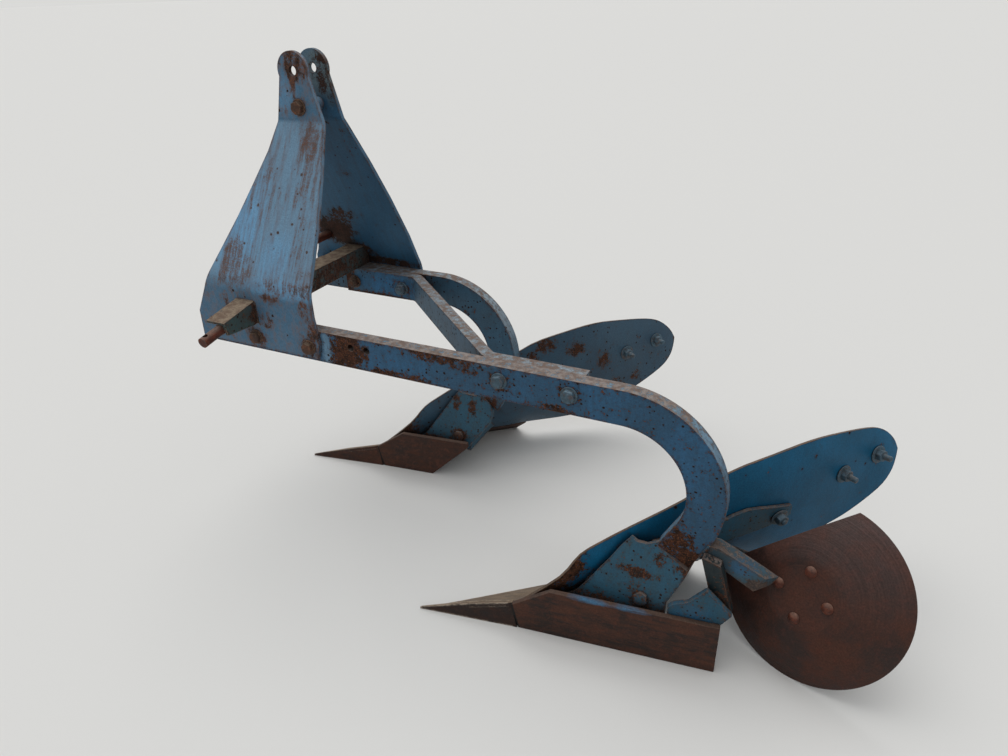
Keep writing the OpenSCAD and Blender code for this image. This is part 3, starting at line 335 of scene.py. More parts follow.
# the mast's outer plate looks up and has faded most; its right third is rubbed through in long streaks
mastLook = dict(
    rustTones, enamel="#365f7b", enamelDeep="#305873", enamelFaded="#7b9bb3", enamelClean="#679bc1",
    grime="#6a666d", grimeShare=0.6, scab=22, scabShare=0.26, streakShare=0.42, gritShare=0.32, limit=0.6, soft=0.07,
    streakTurn=(math.radians(-30), 0, 0), streakSize=(0.011, 0.011, 0.12), edgeReach=9, edgeWear=0.1,
    creaseWear=0.1, topWear=0.0, chalk=1.0, speckGap=17, speckSize=0.5, speckMiss=0.27, rough=0.6, dry=0.75,
    drySlope=0.2, rust="#573a2f", bare="#8a7c79", bareDark="#6e5a54", stain="#5f5c62",
    cleanSpots=[[(-721, 157, 747), (60, 90, 120), 0.9], [(-690, 165, 850), (40, 60, 90), 0.6],
                [(-610, 120, 690), (50, 50, 70), 0.55], [(-650, 275, 1000), (40, 30, 40), 0.4],
                [(-568, 98, 640), (110, 20, 22), 0.75]],
    rustSpots=[[(-572, 250, 908), (34, 44, 60), 0.1], [(-567, 213, 843), (28, 60, 110), 0.07],
               [(-548, 150, 742), (24, 60, 110), 0.07], [(-715, 115, 668), (50, 50, 70), 0.09],
               [(-613, 94, 612), (30, 20, 14), 0.15], [(-523, 94, 600), (20, 20, 50), 0.11],
               [(-568, 100, 640), (100, 20, 18), 0.07], [(-640, 205, 830), (60, 60, 60), 0.03],
               [(-607, 274, 1057), (34, 12, 34), 0.17], [(-600, 274, 1085), (40, 14, 20), 0.13],
               [(-616, 274, 1025), (8, 12, 26), 0.2], [(-605, 274, 977), (24, 12, 24), 0.13],
               [(-672, 94, 516), (30, 10, 27), 0.16], [(-526, 94, 516), (28, 10, 27), 0.15],
               [(-512, 94, 545), (16, 20, 40), 0.16], [(-740, 94, 560), (20, 20, 60), 0.12],
               [(-640, 94, 560), (30, 14, 24), 0.1]])
# the other plate is seen from inside: its enamel is a darker copy of the mast's, painted shade, with a patch of rust
# round the tie bar
mastShadeLook = dict(
    mastLook, enamel="#295673", enamelDeep="#214c68", enamelFaded="#557690", grime="#2f3a44", grimeShare=0.3,
    soft=0.014, streakTurn=(math.radians(25), 0, 0), scabShare=0.5, streakShare=0.2, gritShare=0.3, limit=0.625,
    rust="#3a231a", rustBright="#583523", stain="#2c333a", enamelClean="#6b7c80",
    cleanSpots=[[(-585, 339, 1045), (60, 20, 60), 0.9], [(-715, 484, 610), (30, 40, 30), 0.5]],
    rustSpots=[[(-730, 477, 640), (66, 44, 50), 0.24], [(-690, 460, 690), (44, 40, 30), 0.15],
               [(-600, 515, 562), (110, 20, 12), 0.2], [(-577, 339, 1040), (40, 16, 60), 0.15],
               [(-560, 380, 930), (20, 50, 60), 0.1], [(-614, 404, 815), (30, 30, 10), 0.1],
               [(-660, 489, 585), (40, 30, 30), 0.2]])
# the rear beam's side is deep blue, its top worn to dry steel; rust sits round the free holes and above the frog
beamLook = dict(
    rustTones, enamel="#164e73", enamelDeep="#12405e", enamelFaded="#7d98aa", gloss=0.22, enamelClean="#6e8ea6",
    stain="#2c2f33", grime="#2a404d", grimeShare=0.35, scab=13, scabShare=0.6, streakShare=0.08, gritShare=0.32,
    limit=0.588, streakSize=(0.009, 0.009, 0.05), edgeReach=13, edgeWear=0.1, creaseWear=0.14, topWear=0.13,
    chalk=0.95, speckGap=8.5, speckSize=0.66, speckMiss=0.32, rough=0.55, dry=0.95, drySlope=0.4,
    cleanSpots=[[(-488, 104, 516), (14, 20, 60), 0.8], [(-160, 119, 552), (90, 30, 8), 0.4]],
    rustSpots=[[(-432, 104, 520), (40, 14, 55), 0.19], [(-455, 104, 505), (24, 14, 50), 0.17],
               [(-402, 104, 520), (22, 14, 24), 0.16], [(-215, 104, 546), (75, 10, 14), 0.13],
               [(-150, 104, 540), (40, 10, 22), 0.1], [(-330, 104, 484), (60, 10, 12), 0.13],
               [(-270, 104, 485), (40, 10, 12), 0.12], [(-76, 104, 522), (24, 10, 22), 0.14],
               [(67, 104, 522), (24, 10, 22), 0.14], [(40, 104, 486), (40, 10, 12), 0.1],
               [(290, 104, 250), (30, 14, 40), 0.16], [(312, 104, 215), (24, 14, 34), 0.2],
               [(262, 110, 330), (20, 20, 40), 0.09]])
# the front beam and the brace are greyer, with bigger scabs
braceLook = dict(
    beamLook, enamel="#154964", enamelDeep="#173e54", enamelFaded="#97a3ab", enamelClean="#2b6189", scab=15,
    limit=0.6, topWear=0.1, edgeWear=0.09,
    cleanSpots=[[(-570, 464, 516), (90, 14, 40), 0.9]],
    rustSpots=[[(-700, 464, 520), (30, 14, 40), 0.2], [(-600, 464, 484), (90, 14, 14), 0.15],
               [(-526, 464, 516), (30, 14, 28), 0.1], [(-76, 159, 522), (26, 14, 24), 0.13],
               [(67, 159, 522), (26, 14, 24), 0.13], [(-300, 489, 200), (30, 14, 60), 0.14]])
# the frogs are greener from soil and damp, and scabbed in the corners
frogLook = dict(
    rustTones, enamel="#114a61", enamelDeep="#0e3d50", enamelFaded="#4a6f85", enamelClean="#225c84",
    stain="#2a2e2c", grime="#33403f", grimeShare=0.4, scab=11, scabShare=0.62, streakShare=0.08, gritShare=0.3,
    limit=0.59, streakSize=(0.012, 0.012, 0.06), edgeReach=10, edgeWear=0.1, creaseWear=0.13, topWear=0.07,
    chalk=0.45, speckGap=8, speckSize=0.66, speckMiss=0.32, rough=0.55, dry=0.6, drySlope=0.35,
    cleanSpots=[[(340, 59, 110), (40, 20, 40), 0.5]],
    rustSpots=[[(222, 83, 166), (40, 20, 11), 0.15], [(263, 95, 203), (16, 14, 16), 0.1],
               [(225, 70, 127), (26, 16, 18), 0.08], [(238, 67, 119), (24, 14, 22), 0.06],
               [(317, 95, 198), (24, 20, 20), 0.16], [(150, 60, 90), (40, 30, 14), 0.12],
               [(-397, 480, 201), (12, 14, 30), 0.14], [(-350, 479, 196), (14, 14, 26), 0.15],
               [(-380, 451, 114), (26, 14, 24), 0.17], [(-460, 445, 90), (40, 20, 14), 0.14]])
# the rear moldboard's back has kept its colour and its smooth film
boardLook = dict(
    rustTones, enamel="#0a5578", enamelDeep="#084764", enamelFaded="#1f6a8e", grime="#123a50", grimeShare=0.2,
    gloss=0.15, bare="#5b4e46", bareDark="#463931", rimTone="#473a32", stain="#1f2f3a",
    scab=22, scabShare=0.6, streakShare=0.08, gritShare=0.32, limit=0.645, streakSize=(0.02, 0.02, 0.09),
    edgeReach=7, edgeWear=0.13, creaseWear=0.12, topWear=0.0, chalk=0.55, speckGap=24, speckSize=0.5,
    speckMiss=0.3, rough=0.5, dry=0.6, drySlope=0.35, rust="#4d3123",
    rustSpots=[[(30, 18, 112), (74, 70, 60), 0.3], [(96, 44, 158), (40, 40, 46), 0.26],
               [(422, 297, 322), (9, 9, 12), 0.16], [(500, 380, 330), (8, 8, 8), 0.16],
               [(560, 452, 255), (20, 20, 24), 0.1], [(622, 538, 268), (20, 20, 24), 0.1]])
# the front one's back is greyer, with scabs of rust round its studs
boardShadeLook = dict(
    boardLook, gloss=0.3, enamel="#304d60", enamelDeep="#2b4355", enamelFaded="#47647a", grime="#3d444a", limit=0.62,
    stain="#33302f", speckGap=10, speckSize=0.62, speckMiss=0.32, rust="#3d2318",
    rustSpots=[[(-565, 403, 112), (74, 70, 60), 0.3], [(-145, 707, 301), (30, 30, 30), 0.16],
               [(-83, 776, 250), (26, 26, 30), 0.17], [(-55, 819, 167), (20, 20, 26), 0.14],
               [(-211, 652, 329), (34, 34, 30), 0.16], [(-12, 866, 172), (16, 16, 18), 0.14],
               [(-36, 837, 255), (20, 20, 24), 0.12], [(-240, 620, 280), (30, 40, 40), 0.12]])
# the cross angle is worn to tan primer and dry rust
angleLook = dict(
    rustTones, enamel="#3a524f", enamelDeep="#2c3d42", enamelFaded="#5b6c70", grime="#3d3a36", grimeShare=0.5,
    streakSize=(0.012, 0.012, 0.11), scab=12, scabShare=0.6, streakShare=0.08, gritShare=0.32, limit=0.575,
    edgeReach=8, edgeWear=0.08, creaseWear=0.2, topWear=0.2, chalk=0.4, speckGap=10, speckSize=0.6,
    speckMiss=0.25, rough=0.65, dry=0.95, drySlope=0.4, bare="#95846f", bareDark="#6f5b4c", rimTone="#a39684",
    rustSpots=[[(-661, 330, 575), (60, 150, 60), 0.1], [(-661, 92, 570), (20, 16, 40), 0.1]])
# the tail bar is rubbed grey-brown towards its bare end
tailLook = dict(
    frogLook, enamel="#2f4a58", enamelDeep="#2b3d47", enamelFaded="#4f6876", enamelClean="#22628f", limit=0.585,
    chalk=0.2, dry=0.35,
    cleanSpots=[[(410, 104, 228), (26, 30, 18), 0.4]],
    rustSpots=[[(442, 104, 186), (22, 40, 24), 0.3], [(350, 104, 270), (30, 20, 20), 0.08]],
    rust="#4f4038", rustDark="#3a3230", rustBright="#6c5a50")
# the strut and the wheel's arm: their teal enamel is darkened nearly to black as painted shade
strutInShadeLook = dict(frogLook, enamel="#0d1e24", enamelDeep="#0a171c", enamelFaded="#1b2c34", limit=0.6, creaseWear=0.02,
                 cleanSpots=[], rustSpots=[[(385, 84, 150), (20, 30, 60), 0.1]])

# shares: dark side walls, tan tops and a rubbed crest
shareLook = {"dark": "#1f1613", "brown": "#33231d", "ruddy": "#44291f", "ruddyShare": 0.35, "pale": "#8b7864",
             "paleSlope": 0.3, "topPale": 1.0, "edgeTone": "#b5a594", "rimShare": 1.0, "rimReach": 6,
             "streakSize": (0.1, 0.012, 0.012), "roughLow": 0.6, "roughHigh": 0.85, "joint": 0}
shareFrontLook = dict(shareLook, rimReach=3, dark="#281914", brown="#432a1f", ruddy="#5a3324", ruddyShare=0.45,
                      rimShare=0.45, joint=frontBottom[0])
# landsides: long streaks the way the furrow wall rubbed them
landsideLook = {"dark": "#231611", "brown": "#4b2e22", "ruddy": "#532c1f", "ruddyShare": 0.45, "pale": "#5f4d42",
                "paleSlope": 0.4, "topPale": 0.75, "edgeTone": "#5b4a40", "rimShare": 0.5,
                "streakSize": (0.16, 0.01, 0.009), "roughLow": 0.6, "roughHigh": 0.82,
                "paintSpots": [[(150, 20, 115), (42, 12, 4.5), 0.9], [(228, 30, 115), (34, 12, 4.5), 0.8]],
                "paintTone": "#3f6c8c", "joint": 0}
landsideFrontLook = dict(landsideLook, dark="#291a14", brown="#462b20", ruddy="#5c3425", paintSpots=None,
                         joint=frontBottom[0])
# working faces of the moldboards: streaks rise the way the soil was turned
boardFaceLook = {"dark": "#33241c", "brown": "#5b4434", "ruddy": "#6a4229", "ruddyShare": 0.5, "pale": "#8d7966",
                 "paleSlope": 0.1, "topPale": 0.4, "edgeTone": "#3a2d26", "rimShare": 0.9, "rimReach": 6,
                 "streakTurn": (0, 0, math.radians(52)), "streakSize": (0.12, 0.012, 0.012), "roughLow": 0.42,
                 "roughHigh": 0.75}
# disc: faint rings round its axle, from turning in the soil
axleWay = Vector((-0.3447, -0.8445, 0.4099))
discLook = {"dark": "#2a1812", "brown": "#46281d", "ruddy": "#56281b", "ruddyShare": 0.25, "pale": "#604b48",
            "streakShare": 0.2, "paleSlope": 0.35, "topPale": 0.55, "edgeTone": "#4c3a33", "rimShare": 0.5,
            "rings": True, "centre": at(538.6, 172.6, 162.66),
            "streakTurn": axleWay.to_track_quat("Z", "Y").to_euler()[:], "streakSize": (0.006, 0.006, 0.006),
            "roughLow": 0.5, "roughHigh": 0.78}
# small pieces: pins and tie bar, bolts, the painted washers and nuts, the hub and its axle
pinLook = {"dark": "#301811", "brown": "#5a2d1f", "ruddy": "#6e3823", "ruddyShare": 0.5, "pale": "#927a6c",
           "paleSlope": 0.45, "topPale": 0.5, "edgeTone": "#77604f", "rimShare": 0.5,
           "streakSize": (0.01, 0.05, 0.01), "roughLow": 0.5, "roughHigh": 0.8}
boltLook = {"dark": "#35231b", "brown": "#543c2f", "ruddy": "#6d442e", "ruddyShare": 0.6, "pale": "#8a7663",
            "paleSlope": 0.4, "topPale": 0.6, "edgeTone": "#8a7a68", "rimShare": 0.6,
            "streakSize": (0.014, 0.014, 0.014), "roughLow": 0.6, "roughHigh": 0.88}
washerLook = {"dark": "#33434c", "brown": "#4f6877", "ruddy": "#5a3f31", "ruddyShare": 0.55, "pale": "#7c8f9b",
              "paleSlope": 0.4, "topPale": 0.5, "edgeTone": "#7b7268", "rimShare": 0.5,
              "streakSize": (0.014, 0.014, 0.014), "roughLow": 0.55, "roughHigh": 0.85}
hubLook = {"dark": "#1c1714", "brown": "#33261f", "ruddy": "#452d20", "ruddyShare": 0.4, "pale": "#54483f",
           "paleSlope": 0.5, "topPale": 0.3, "edgeTone": "#4d4038", "rimShare": 0.4,
           "streakSize": (0.02, 0.02, 0.02), "roughLow": 0.45, "roughHigh": 0.75}

print("plough: finishes described")


def clearSelection():
    if bpy.context.object and bpy.context.object.mode != "OBJECT":
        bpy.ops.object.mode_set(mode="OBJECT")
    bpy.ops.object.select_all(action="DESELECT")


# metres within which seams are merged, degrees that still count as flat and as a corner, and how far big faces rule
cadSurface = {"seam": 0.00002, "flat": 0.6, "corner": 30, "normalWeight": 60}


def keepCadNode(name, finish, edge):
    # the CAD solid stays as it is: its seams are merged, its flat faces joined and its edges rounded on top
    piece = nodes[name]
    piece.data.materials.clear()
    piece.data.materials.append(finish)
    piece.data.polygons.foreach_set("use_smooth", [True] * len(piece.data.polygons))
    merge = piece.modifiers.new("merge", "WELD")
    merge.merge_threshold = cadSurface["seam"]
    flat = piece.modifiers.new("flat", "DECIMATE")
    flat.decimate_type = "DISSOLVE"
    flat.angle_limit = math.radians(cadSurface["flat"])
    rounding = piece.modifiers.new("rounding", "BEVEL")
    rounding.width = edge / 1000
    rounding.segments = 2
    rounding.limit_method = "ANGLE"
    rounding.angle_limit = math.radians(cadSurface["corner"])
    rounding.harden_normals = True
    even = piece.modifiers.new("even", "WEIGHTED_NORMAL")
    even.weight = cadSurface["normalWeight"]


# what all the added hardware shares: degrees over which the shading breaks, rounding of a hexagon and of a washer in
# millimetres, corners of a circle, width of a head's flat top as a share of its flats, spare height in millimetres of
# the cone that turns a head's corners down, and how far a rod narrows at its tip
hardware = {"shadeBreak": 35, "hexagonEdge": 0.7, "plateEdge": 0.6, "corners": 40, "topShare": 0.95, "coneSpare": 0.2,
            "tipShare": 0.72}


def makeActive(obj):
    clearSelection()
    obj.select_set(True)
    bpy.context.view_layer.objects.active = obj


def roundEdges(obj, width):
    makeActive(obj)
    rounding = obj.modifiers.new("rounding", "BEVEL")
    rounding.width = width / 1000
    rounding.segments = 2
    rounding.limit_method = "ANGLE"
    rounding.angle_limit = math.radians(cadSurface["corner"])
    bpy.ops.object.modifier_apply(modifier="rounding")


def joined(pieces):
    clearSelection()
    for piece in pieces:
        piece.select_set(True)
    bpy.context.view_layer.objects.active = pieces[0]
    bpy.ops.object.join()
    return bpy.context.object


def takeOver(obj, name, finish, body="plough_frame", replaced=None):
    obj.name = name
    obj.data.name = name
    if finish:
        obj.data.materials.clear()
        obj.data.materials.append(finish)
    makeActive(obj)
    bpy.ops.object.shade_smooth_by_angle(angle=math.radians(hardware["shadeBreak"]))
    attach(obj, body)
    if replaced:
        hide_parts(replaced)


# Hexagon head or nut, its corners turned down, standing on z = 0. A hexagon's corners lie flats / 1.732 from its
# middle, and the cone that turns them down falls 30 degrees.
def hexagon(flats, height):
    clearSelection()
    bpy.ops.mesh.primitive_cylinder_add(vertices=6, radius=flats / 1732, depth=height / 1000,
                                        location=(0, 0, height / 2000))
    body = bpy.context.object
    bpy.ops.mesh.primitive_cone_add(
        vertices=hardware["corners"], radius1=flats / 2000 + height / 1000 * 1.732,
        radius2=flats / 2000 * hardware["topShare"], depth=(height + hardware["coneSpare"]) / 1000,
        location=(0, 0, height / 2000))
    turned = bpy.context.object
    cut = body.modifiers.new("turned", "BOOLEAN")
    cut.operation = "INTERSECT"
    cut.object = turned
    makeActive(body)
    bpy.ops.object.modifier_apply(modifier="turned")
    bpy.data.objects.remove(turned)
    roundEdges(body, hardware["hexagonEdge"])
    return body


# Rod of rings, standing on z = 0: a threaded end where the rings are fine, a weld bead where they are coarse.
def ringedRod(diameter, length, pitch, waist, corners=20, wander=0.0):
    clearSelection()
    rings = max(2, round(length / pitch))
    bpy.ops.mesh.primitive_circle_add(vertices=corners, radius=diameter / 2000, fill_type="NGON")
    rod = bpy.context.object
    bpy.ops.object.mode_set(mode="EDIT")
    for ring in range(rings * 2 - 1):
        aside = (random.uniform(-wander, wander) / 1000, random.uniform(-wander, wander) / 1000, pitch / 2000)
        bpy.ops.mesh.extrude_region_move(TRANSFORM_OT_translate={"value": aside})
        grow = waist if ring % 2 == 0 else 1 / waist
        bpy.ops.transform.resize(value=(grow, grow, 1))
    bpy.ops.mesh.extrude_region_move(TRANSFORM_OT_translate={"value": (0, 0, pitch / 2000)})
    bpy.ops.transform.resize(value=(hardware["tipShare"], hardware["tipShare"], 1))
    bpy.ops.mesh.select_all(action="SELECT")
    bpy.ops.mesh.normals_make_consistent(inside=False)
    bpy.ops.object.mode_set(mode="OBJECT")
    return rod


def roundPlate(diameter, thick, edge=hardware["plateEdge"], corners=hardware["corners"]):
    clearSelection()
    bpy.ops.mesh.primitive_cylinder_add(vertices=corners, radius=diameter / 2000, depth=thick / 1000,
                                        location=(0, 0, thick / 2000))
    piece = bpy.context.object
    roundEdges(piece, edge)
    return piece


def copyAt(source, place, way, turn=0.0, lift=0.0):
    # a copy with its own mesh, its foot at place and its axis along way
    makeActive(source)
    bpy.ops.object.duplicate()
    copy = bpy.context.object
    axis = Vector(way).normalized()
    copy.matrix_world = (Matrix.Translation(at(*place) + axis * lift / 1000)
                         @ axis.to_track_quat("Z", "Y").to_matrix().to_4x4()
                         @ Matrix.Rotation(math.radians(turn), 4, "Z") @ source.matrix_world)
    bpy.ops.object.transform_apply(location=True, rotation=True, scale=True)
    return copy


painted = {
    "mast": chippedEnamel("sun-faded enamel on the mast plate", mastLook),
    "mastShade": chippedEnamel("far mast plate enamel darkened as painted shade", mastShadeLook),
    "beam": chippedEnamel("chipped enamel on the rear beam", beamLook),
    "brace": chippedEnamel("chipped enamel on front beam and brace", braceLook),
    "frog": chippedEnamel("chipped enamel on the frogs", frogLook),
    "board": chippedEnamel("enamel on the rear moldboard's back", boardLook),
    "boardShade": chippedEnamel("enamel on the front moldboard's back", boardShadeLook),
    "angle": chippedEnamel("worn enamel on the cross angle", angleLook),
    "tail": chippedEnamel("worn enamel on the tail bar", tailLook),
    "strut": chippedEnamel("heel strut and wheel arm enamel darkened as painted shade", strutInShadeLook),
}
steel = {
    "share": scouredRust("scoured rusty steel, rear share", shareLook),
    "shareFront": scouredRust("scoured rusty steel, front share", shareFrontLook),
    "landside": scouredRust("scoured rusty steel, rear landside", landsideLook),
    "landsideFront": scouredRust("scoured rusty steel, front landside", landsideFrontLook),
    "disc": scouredRust("turned rusty steel, disc", discLook),
    "pin": scouredRust("rusty round bar, pins", pinLook),
    "bolt": scouredRust("rusty steel, bolts", boltLook),
    "washer": scouredRust("paint-stained steel, washers and nuts", washerLook),
    "hub": scouredRust("greasy rusty steel, hub", hubLook),
    "boardFace": scouredRust("soil-scoured rusty steel, moldboard faces", boardFaceLook),
}
print("plough: materials made")

# finish and edge rounding in millimetres for each CAD node that stays
nodeFinish = {
    "beam_rear": (painted["beam"], 2.2), "beam_front": (painted["brace"], 2.2), "brace": (painted["brace"], 2.5),
    "mast_plate_left": (painted["mast"], 1.2), "mast_plate_right": (painted["mastShade"], 1.2),
    "mast_spacer": (painted["mast"], 0.8), "tie_bar": (steel["pin"], 0.8),
    "cross_angle": (painted["angle"], 1.2), "link_pin_left": (steel["pin"], 1.5),
    "link_pin_right": (steel["pin"], 1.5), "frog_rear": (painted["frog"], 2.0),
    "frog_front": (painted["frog"], 2.0), "frog_rib_rear": (painted["frog"], 1.0),
    "frog_rib_front": (painted["frog"], 1.0), "share_rear": (steel["share"], 0.8),
    "share_front": (steel["shareFront"], 0.8), "landside_rear": (steel["landside"], 1.5),
    "landside_front": (steel["landsideFront"], 1.5), "moldboard_rear": (painted["board"], 0.8),
    "moldboard_front": (painted["boardShade"], 0.8), "moldboard_strap_rear": (painted["frog"], 1.0),
    "moldboard_strap_front": (painted["boardShade"], 1.0), "heel_plate": (painted["frog"], 1.5),
    "heel_strut": (painted["strut"], 1.0), "tail_bar": (painted["tail"], 1.0),
    "wheel_arm": (painted["strut"], 1.0), "wheel_axle": (steel["hub"], 1.0), "wheel_hub": (steel["hub"], 1.5),
    "wheel_disc": (steel["disc"], 1.0), "wheel_bolts": (steel["pin"], 0.6),
}
for name, (finish, edge) in nodeFinish.items():
    keepCadNode(name, finish, edge)
# the soil has taken the paint off the moldboards' working faces and their upper rims, which look forward and up: the
# faces whose normals go along this way by at least this much
scoured = {"way": (-1, 0, 0.3), "least": 0.12}
for name in ("moldboard_rear", "moldboard_front"):
    board = nodes[name].data
    board.materials.append(steel["boardFace"])
    for polygon in board.polygons:
        if polygon.normal.dot(Vector(scoured["way"])) > scoured["least"]:
            polygon.material_index = 1
print("plough: CAD pieces finished")

# hexagon bolts of the frame: head, nut, washer, shank and thread in millimetres, turn in degrees
frameBolt = {"flats": 24, "head": 10, "nut": 13, "washer": 34, "washerThick": 2.8, "shank": 16, "shankEdge": 0.3,
             "shankCorners": 24, "thread": 5, "inNut": 2, "pitch": 2.0, "waist": 0.92, "turn": 30}
head = hexagon(frameBolt["flats"], frameBolt["head"])
nut = hexagon(frameBolt["flats"], frameBolt["nut"])
plate = roundPlate(frameBolt["washer"], frameBolt["washerThick"])
tip = ringedRod(frameBolt["shank"], frameBolt["thread"] + frameBolt["inNut"], frameBolt["pitch"], frameBolt["waist"])


def boltSet(name, replaced, rows):
    # each row: face under the head, way out of it, face under the nut, turn of the head, finishes of head and nut
    parts = []
    for headFace, way, nutFace, turn, headFinish, nutFinish in rows:
        way = Vector(way)
        first = len(parts)
        parts.append(copyAt(plate, headFace, way))
        parts.append(copyAt(head, headFace, way, frameBolt["turn"] + turn, frameBolt["washerThick"]))
        parts.append(copyAt(plate, nutFace, -way))
        parts.append(copyAt(nut, nutFace, -way, frameBolt["turn"] - turn, frameBolt["washerThick"]))
        parts.append(copyAt(tip, nutFace, -way, 0, frameBolt["washerThick"] + frameBolt["nut"] - frameBolt["inNut"]))
        grip = (Vector(headFace) - Vector(nutFace)).length
        shank = roundPlate(frameBolt["shank"], grip, frameBolt["shankEdge"], frameBolt["shankCorners"])
        parts.append(copyAt(shank, nutFace, way))
        bpy.data.objects.remove(shank)
        for number, part in enumerate(parts[first:]):
            part.data.materials.append(steel[headFinish if number < 2 else nutFinish])
    takeOver(joined(parts), name, None, replaced=replaced)


out = (0, -1, 0)
boltSet("mast_bolt_set", "mast_bolts", [
    ((-672, 94, 516), out, (-672, 134, 516), 8, "bolt", "bolt"),
    ((-526, 94, 516), out, (-526, 134, 516), -14, "bolt", "bolt"),
    ((-672, 529, 516), (0, 1, 0), (-672, 464, 516), 21, "bolt", "bolt"),
    ((-526, 529, 516), (0, 1, 0), (-526, 464, 516), 3, "bolt", "washer")])
boltSet("brace_bolt_set", "brace_bolts", [
    ((-76, 104, 522), out, (-76, 159, 522), 12, "washer", "bolt"),
    ((67.5, 104, 522), out, (67.5, 159, 522), -9, "washer", "bolt")])
boltSet("mast_spacer_bolt_set", "mast_spacer_bolt", [
    ((-608, 274, 977), out, (-608, 349, 977), 17, "bolt", "bolt")])

# wide washer against the inside of the left ear, on the spacer
earWasher = {"diameter": 57, "thick": 6, "edge": 1.2, "corners": 48, "place": (-608, 284, 977)}
wide = roundPlate(earWasher["diameter"], earWasher["thick"], earWasher["edge"], earWasher["corners"])
takeOver(copyAt(wide, earWasher["place"], (0, 1, 0)), "mast_ear_washer", steel["washer"])
bpy.data.objects.remove(wide)

# studs on the moldboards' backs: place, way out and length of the rear board's three, the front board's are the same
boardStud = {"flats": 23, "nut": 13, "washer": 40, "washerThick": 2.5, "washerEdge": 0.7, "washerLift": 0.2,
             "diameter": 13, "pitch": 2.0, "waist": 0.92,
             "rows": [((558.9, 451.9, 254.7), (0.802, -0.594, 0.062), 34),
                      ((620.7, 537.4, 268.1), (0.771, -0.617, 0.158), 34),
                      ((453.3, 320.4, 202.3), (0.695, -0.701, -0.161), 20)]}
studNut = hexagon(boardStud["flats"], boardStud["nut"])
studWasher = roundPlate(boardStud["washer"], boardStud["washerThick"], boardStud["washerEdge"])
for name, shift in (("moldboard_bolts_rear", (0, 0, 0)), ("moldboard_bolts_front", frontBottom)):
    parts = []
    for place, way, length in boardStud["rows"]:
        foot = tuple(Vector(place) + Vector(shift))
        stud = ringedRod(boardStud["diameter"], length, boardStud["pitch"], boardStud["waist"])
        parts.append(copyAt(studWasher, foot, way, 0, boardStud["washerLift"]))
        parts.append(copyAt(studNut, foot, way, random.uniform(0, 60), boardStud["washerThick"]))
        parts.append(copyAt(stud, foot, way))
        bpy.data.objects.remove(stud)
    takeOver(joined(parts), name.replace("bolts", "stud_set"), steel["washer"], replaced=name)

# bolt through each frog's foot into the landside: its head sits in the paint
frogBolt = {"flats": 26, "head": 9, "lift": -1.0, "turns": (11, 34), "way": (0, -0.949, 0.314),
            "places": [(238, 67, 119), (-380, 451, 114)]}
lowHead = hexagon(frogBolt["flats"], frogBolt["head"])
for number, place in enumerate(frogBolt["places"]):
    bolt = copyAt(lowHead, place, frogBolt["way"], frogBolt["turns"][number], frogBolt["lift"])
    takeOver(bolt, "frog_bolt_%d" % (number + 1), painted["frog"])
bpy.data.objects.remove(lowHead)
for source in (head, nut, plate, tip, studNut, studWasher):
    bpy.data.objects.remove(source)
print("plough: bolts, nuts and washers made")

# arc-welded seams: start, way, length in millimetres, finish
weldSeam = {"width": 8, "pitch": 4.5, "waist": 0.86, "corners": 10, "wander": 0.35}
seams = [("weld_mast_left_rear", (-661, 94, 551), (0, 0, 1), 48, "angle"),
         ("weld_mast_left_top", (-661, 94, 599), (-1, 0, 0), 56, "angle"),
         ("weld_tail_bar", (335, 104, 229), (0.44, 0, 0.9), 36, "frog")]
for name, start, way, length, finish in seams:
    rod = ringedRod(weldSeam["width"], length, weldSeam["pitch"], weldSeam["waist"], weldSeam["corners"],
                    weldSeam["wander"])
    takeOver(copyAt(rod, start, way), name, painted[finish])
    bpy.data.objects.remove(rod)
print("plough: weld seams made")

# floor, light and camera
studio = {"floor": "#e4e2de", "floorSize": 600, "sky": "#eef1f4", "shown": "#dadad8", "skyStrength": 0.66,
          "lampStrength": 1.1, "lampSpread": 60, "lampTilt": (-12, -14)}

clearSelection()
bpy.ops.mesh.primitive_plane_add(size=studio["floorSize"], location=(0, 0, 0))
floor = bpy.context.object
floor.name = "floor"
floorFinish, floorTree = newMaterial("matt pale floor")
floorShader = addNode(floorTree, "BsdfPrincipled", {"Base Color": linear(studio["floor"]), "Roughness": 0.9})
addNode(floorTree, "OutputMaterial", {"Surface": floorShader.outputs[0]})
floor.data.materials.append(floorFinish)

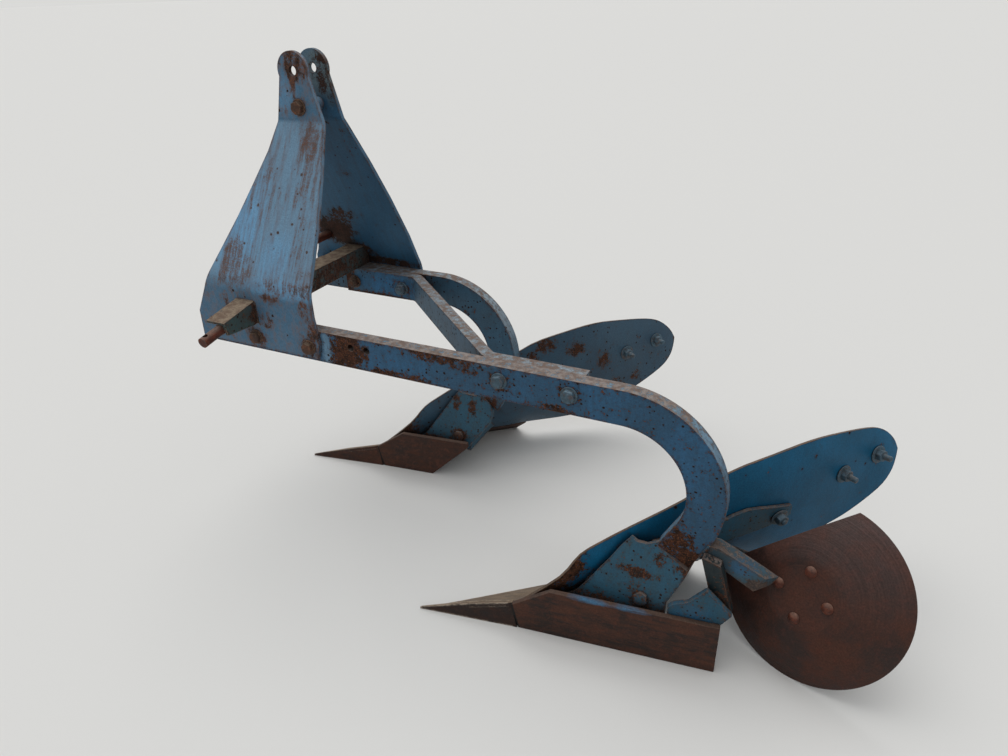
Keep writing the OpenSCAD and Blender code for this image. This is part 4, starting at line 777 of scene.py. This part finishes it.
# the world lights like an overcast sky, and shows as a plain pale wall to the camera and in reflections
world = bpy.data.worlds.new("overcast studio")
bpy.context.scene.world = world
world.use_nodes = True
sky = world.node_tree
sky.nodes.clear()
light = addNode(sky, "Background", {"Color": linear(studio["sky"]), "Strength": studio["skyStrength"]})
shown = addNode(sky, "Background", {"Color": linear(studio["shown"]), "Strength": 1.0})
path = addNode(sky, "LightPath")
seen = addNode(sky, "Math", {0: path.outputs["Is Camera Ray"], 1: path.outputs["Is Glossy Ray"]}, operation="MAXIMUM")
mixed = addNode(sky, "MixShader", {0: seen.outputs[0], 1: light.outputs[0], 2: shown.outputs[0]})
addNode(sky, "OutputWorld", {"Surface": mixed.outputs[0]})

bpy.ops.object.light_add(type="SUN", location=(0, 0, 4),
                         rotation=(math.radians(studio["lampTilt"][0]), math.radians(studio["lampTilt"][1]), 0))
lamp = bpy.context.object
lamp.name = "soft sky lamp"
lamp.data.energy = studio["lampStrength"]
lamp.data.angle = math.radians(studio["lampSpread"])

# the camera stands where the photograph was taken from: place in metres in the plough's frame, turns in radians
view = {"place": (0.54665, -1.4558, 1.1861), "azimuth": -0.462983493, "elevation": -0.492664703,
        "roll": 0.0333521495, "focalPixels": 727.5375, "pictureWidth": 1008, "sensor": 36, "farthest": 1000}
bpy.ops.object.camera_add()
camera = bpy.context.object
camera.name = "camera"
azimuth, elevation, roll = view["azimuth"], view["elevation"], view["roll"]
forward = Vector((math.sin(azimuth) * math.cos(elevation), math.cos(azimuth) * math.cos(elevation),
                  math.sin(elevation)))
right = Vector((math.cos(azimuth), -math.sin(azimuth), 0))
down = forward.cross(right)
rolledRight = right * math.cos(roll) + down * math.sin(roll)
rolledDown = down * math.cos(roll) - right * math.sin(roll)
turn = Matrix((rolledRight, -rolledDown, -forward)).transposed()
camera.matrix_world = Matrix.Translation(view["place"]) @ turn.to_4x4()
camera.data.sensor_width = view["sensor"]
camera.data.lens = view["focalPixels"] / view["pictureWidth"] * view["sensor"]
camera.data.clip_end = view["farthest"]
bpy.context.scene.camera = camera
bpy.context.scene.view_settings.view_transform = "Standard"
print("plough: floor, light and camera placed")
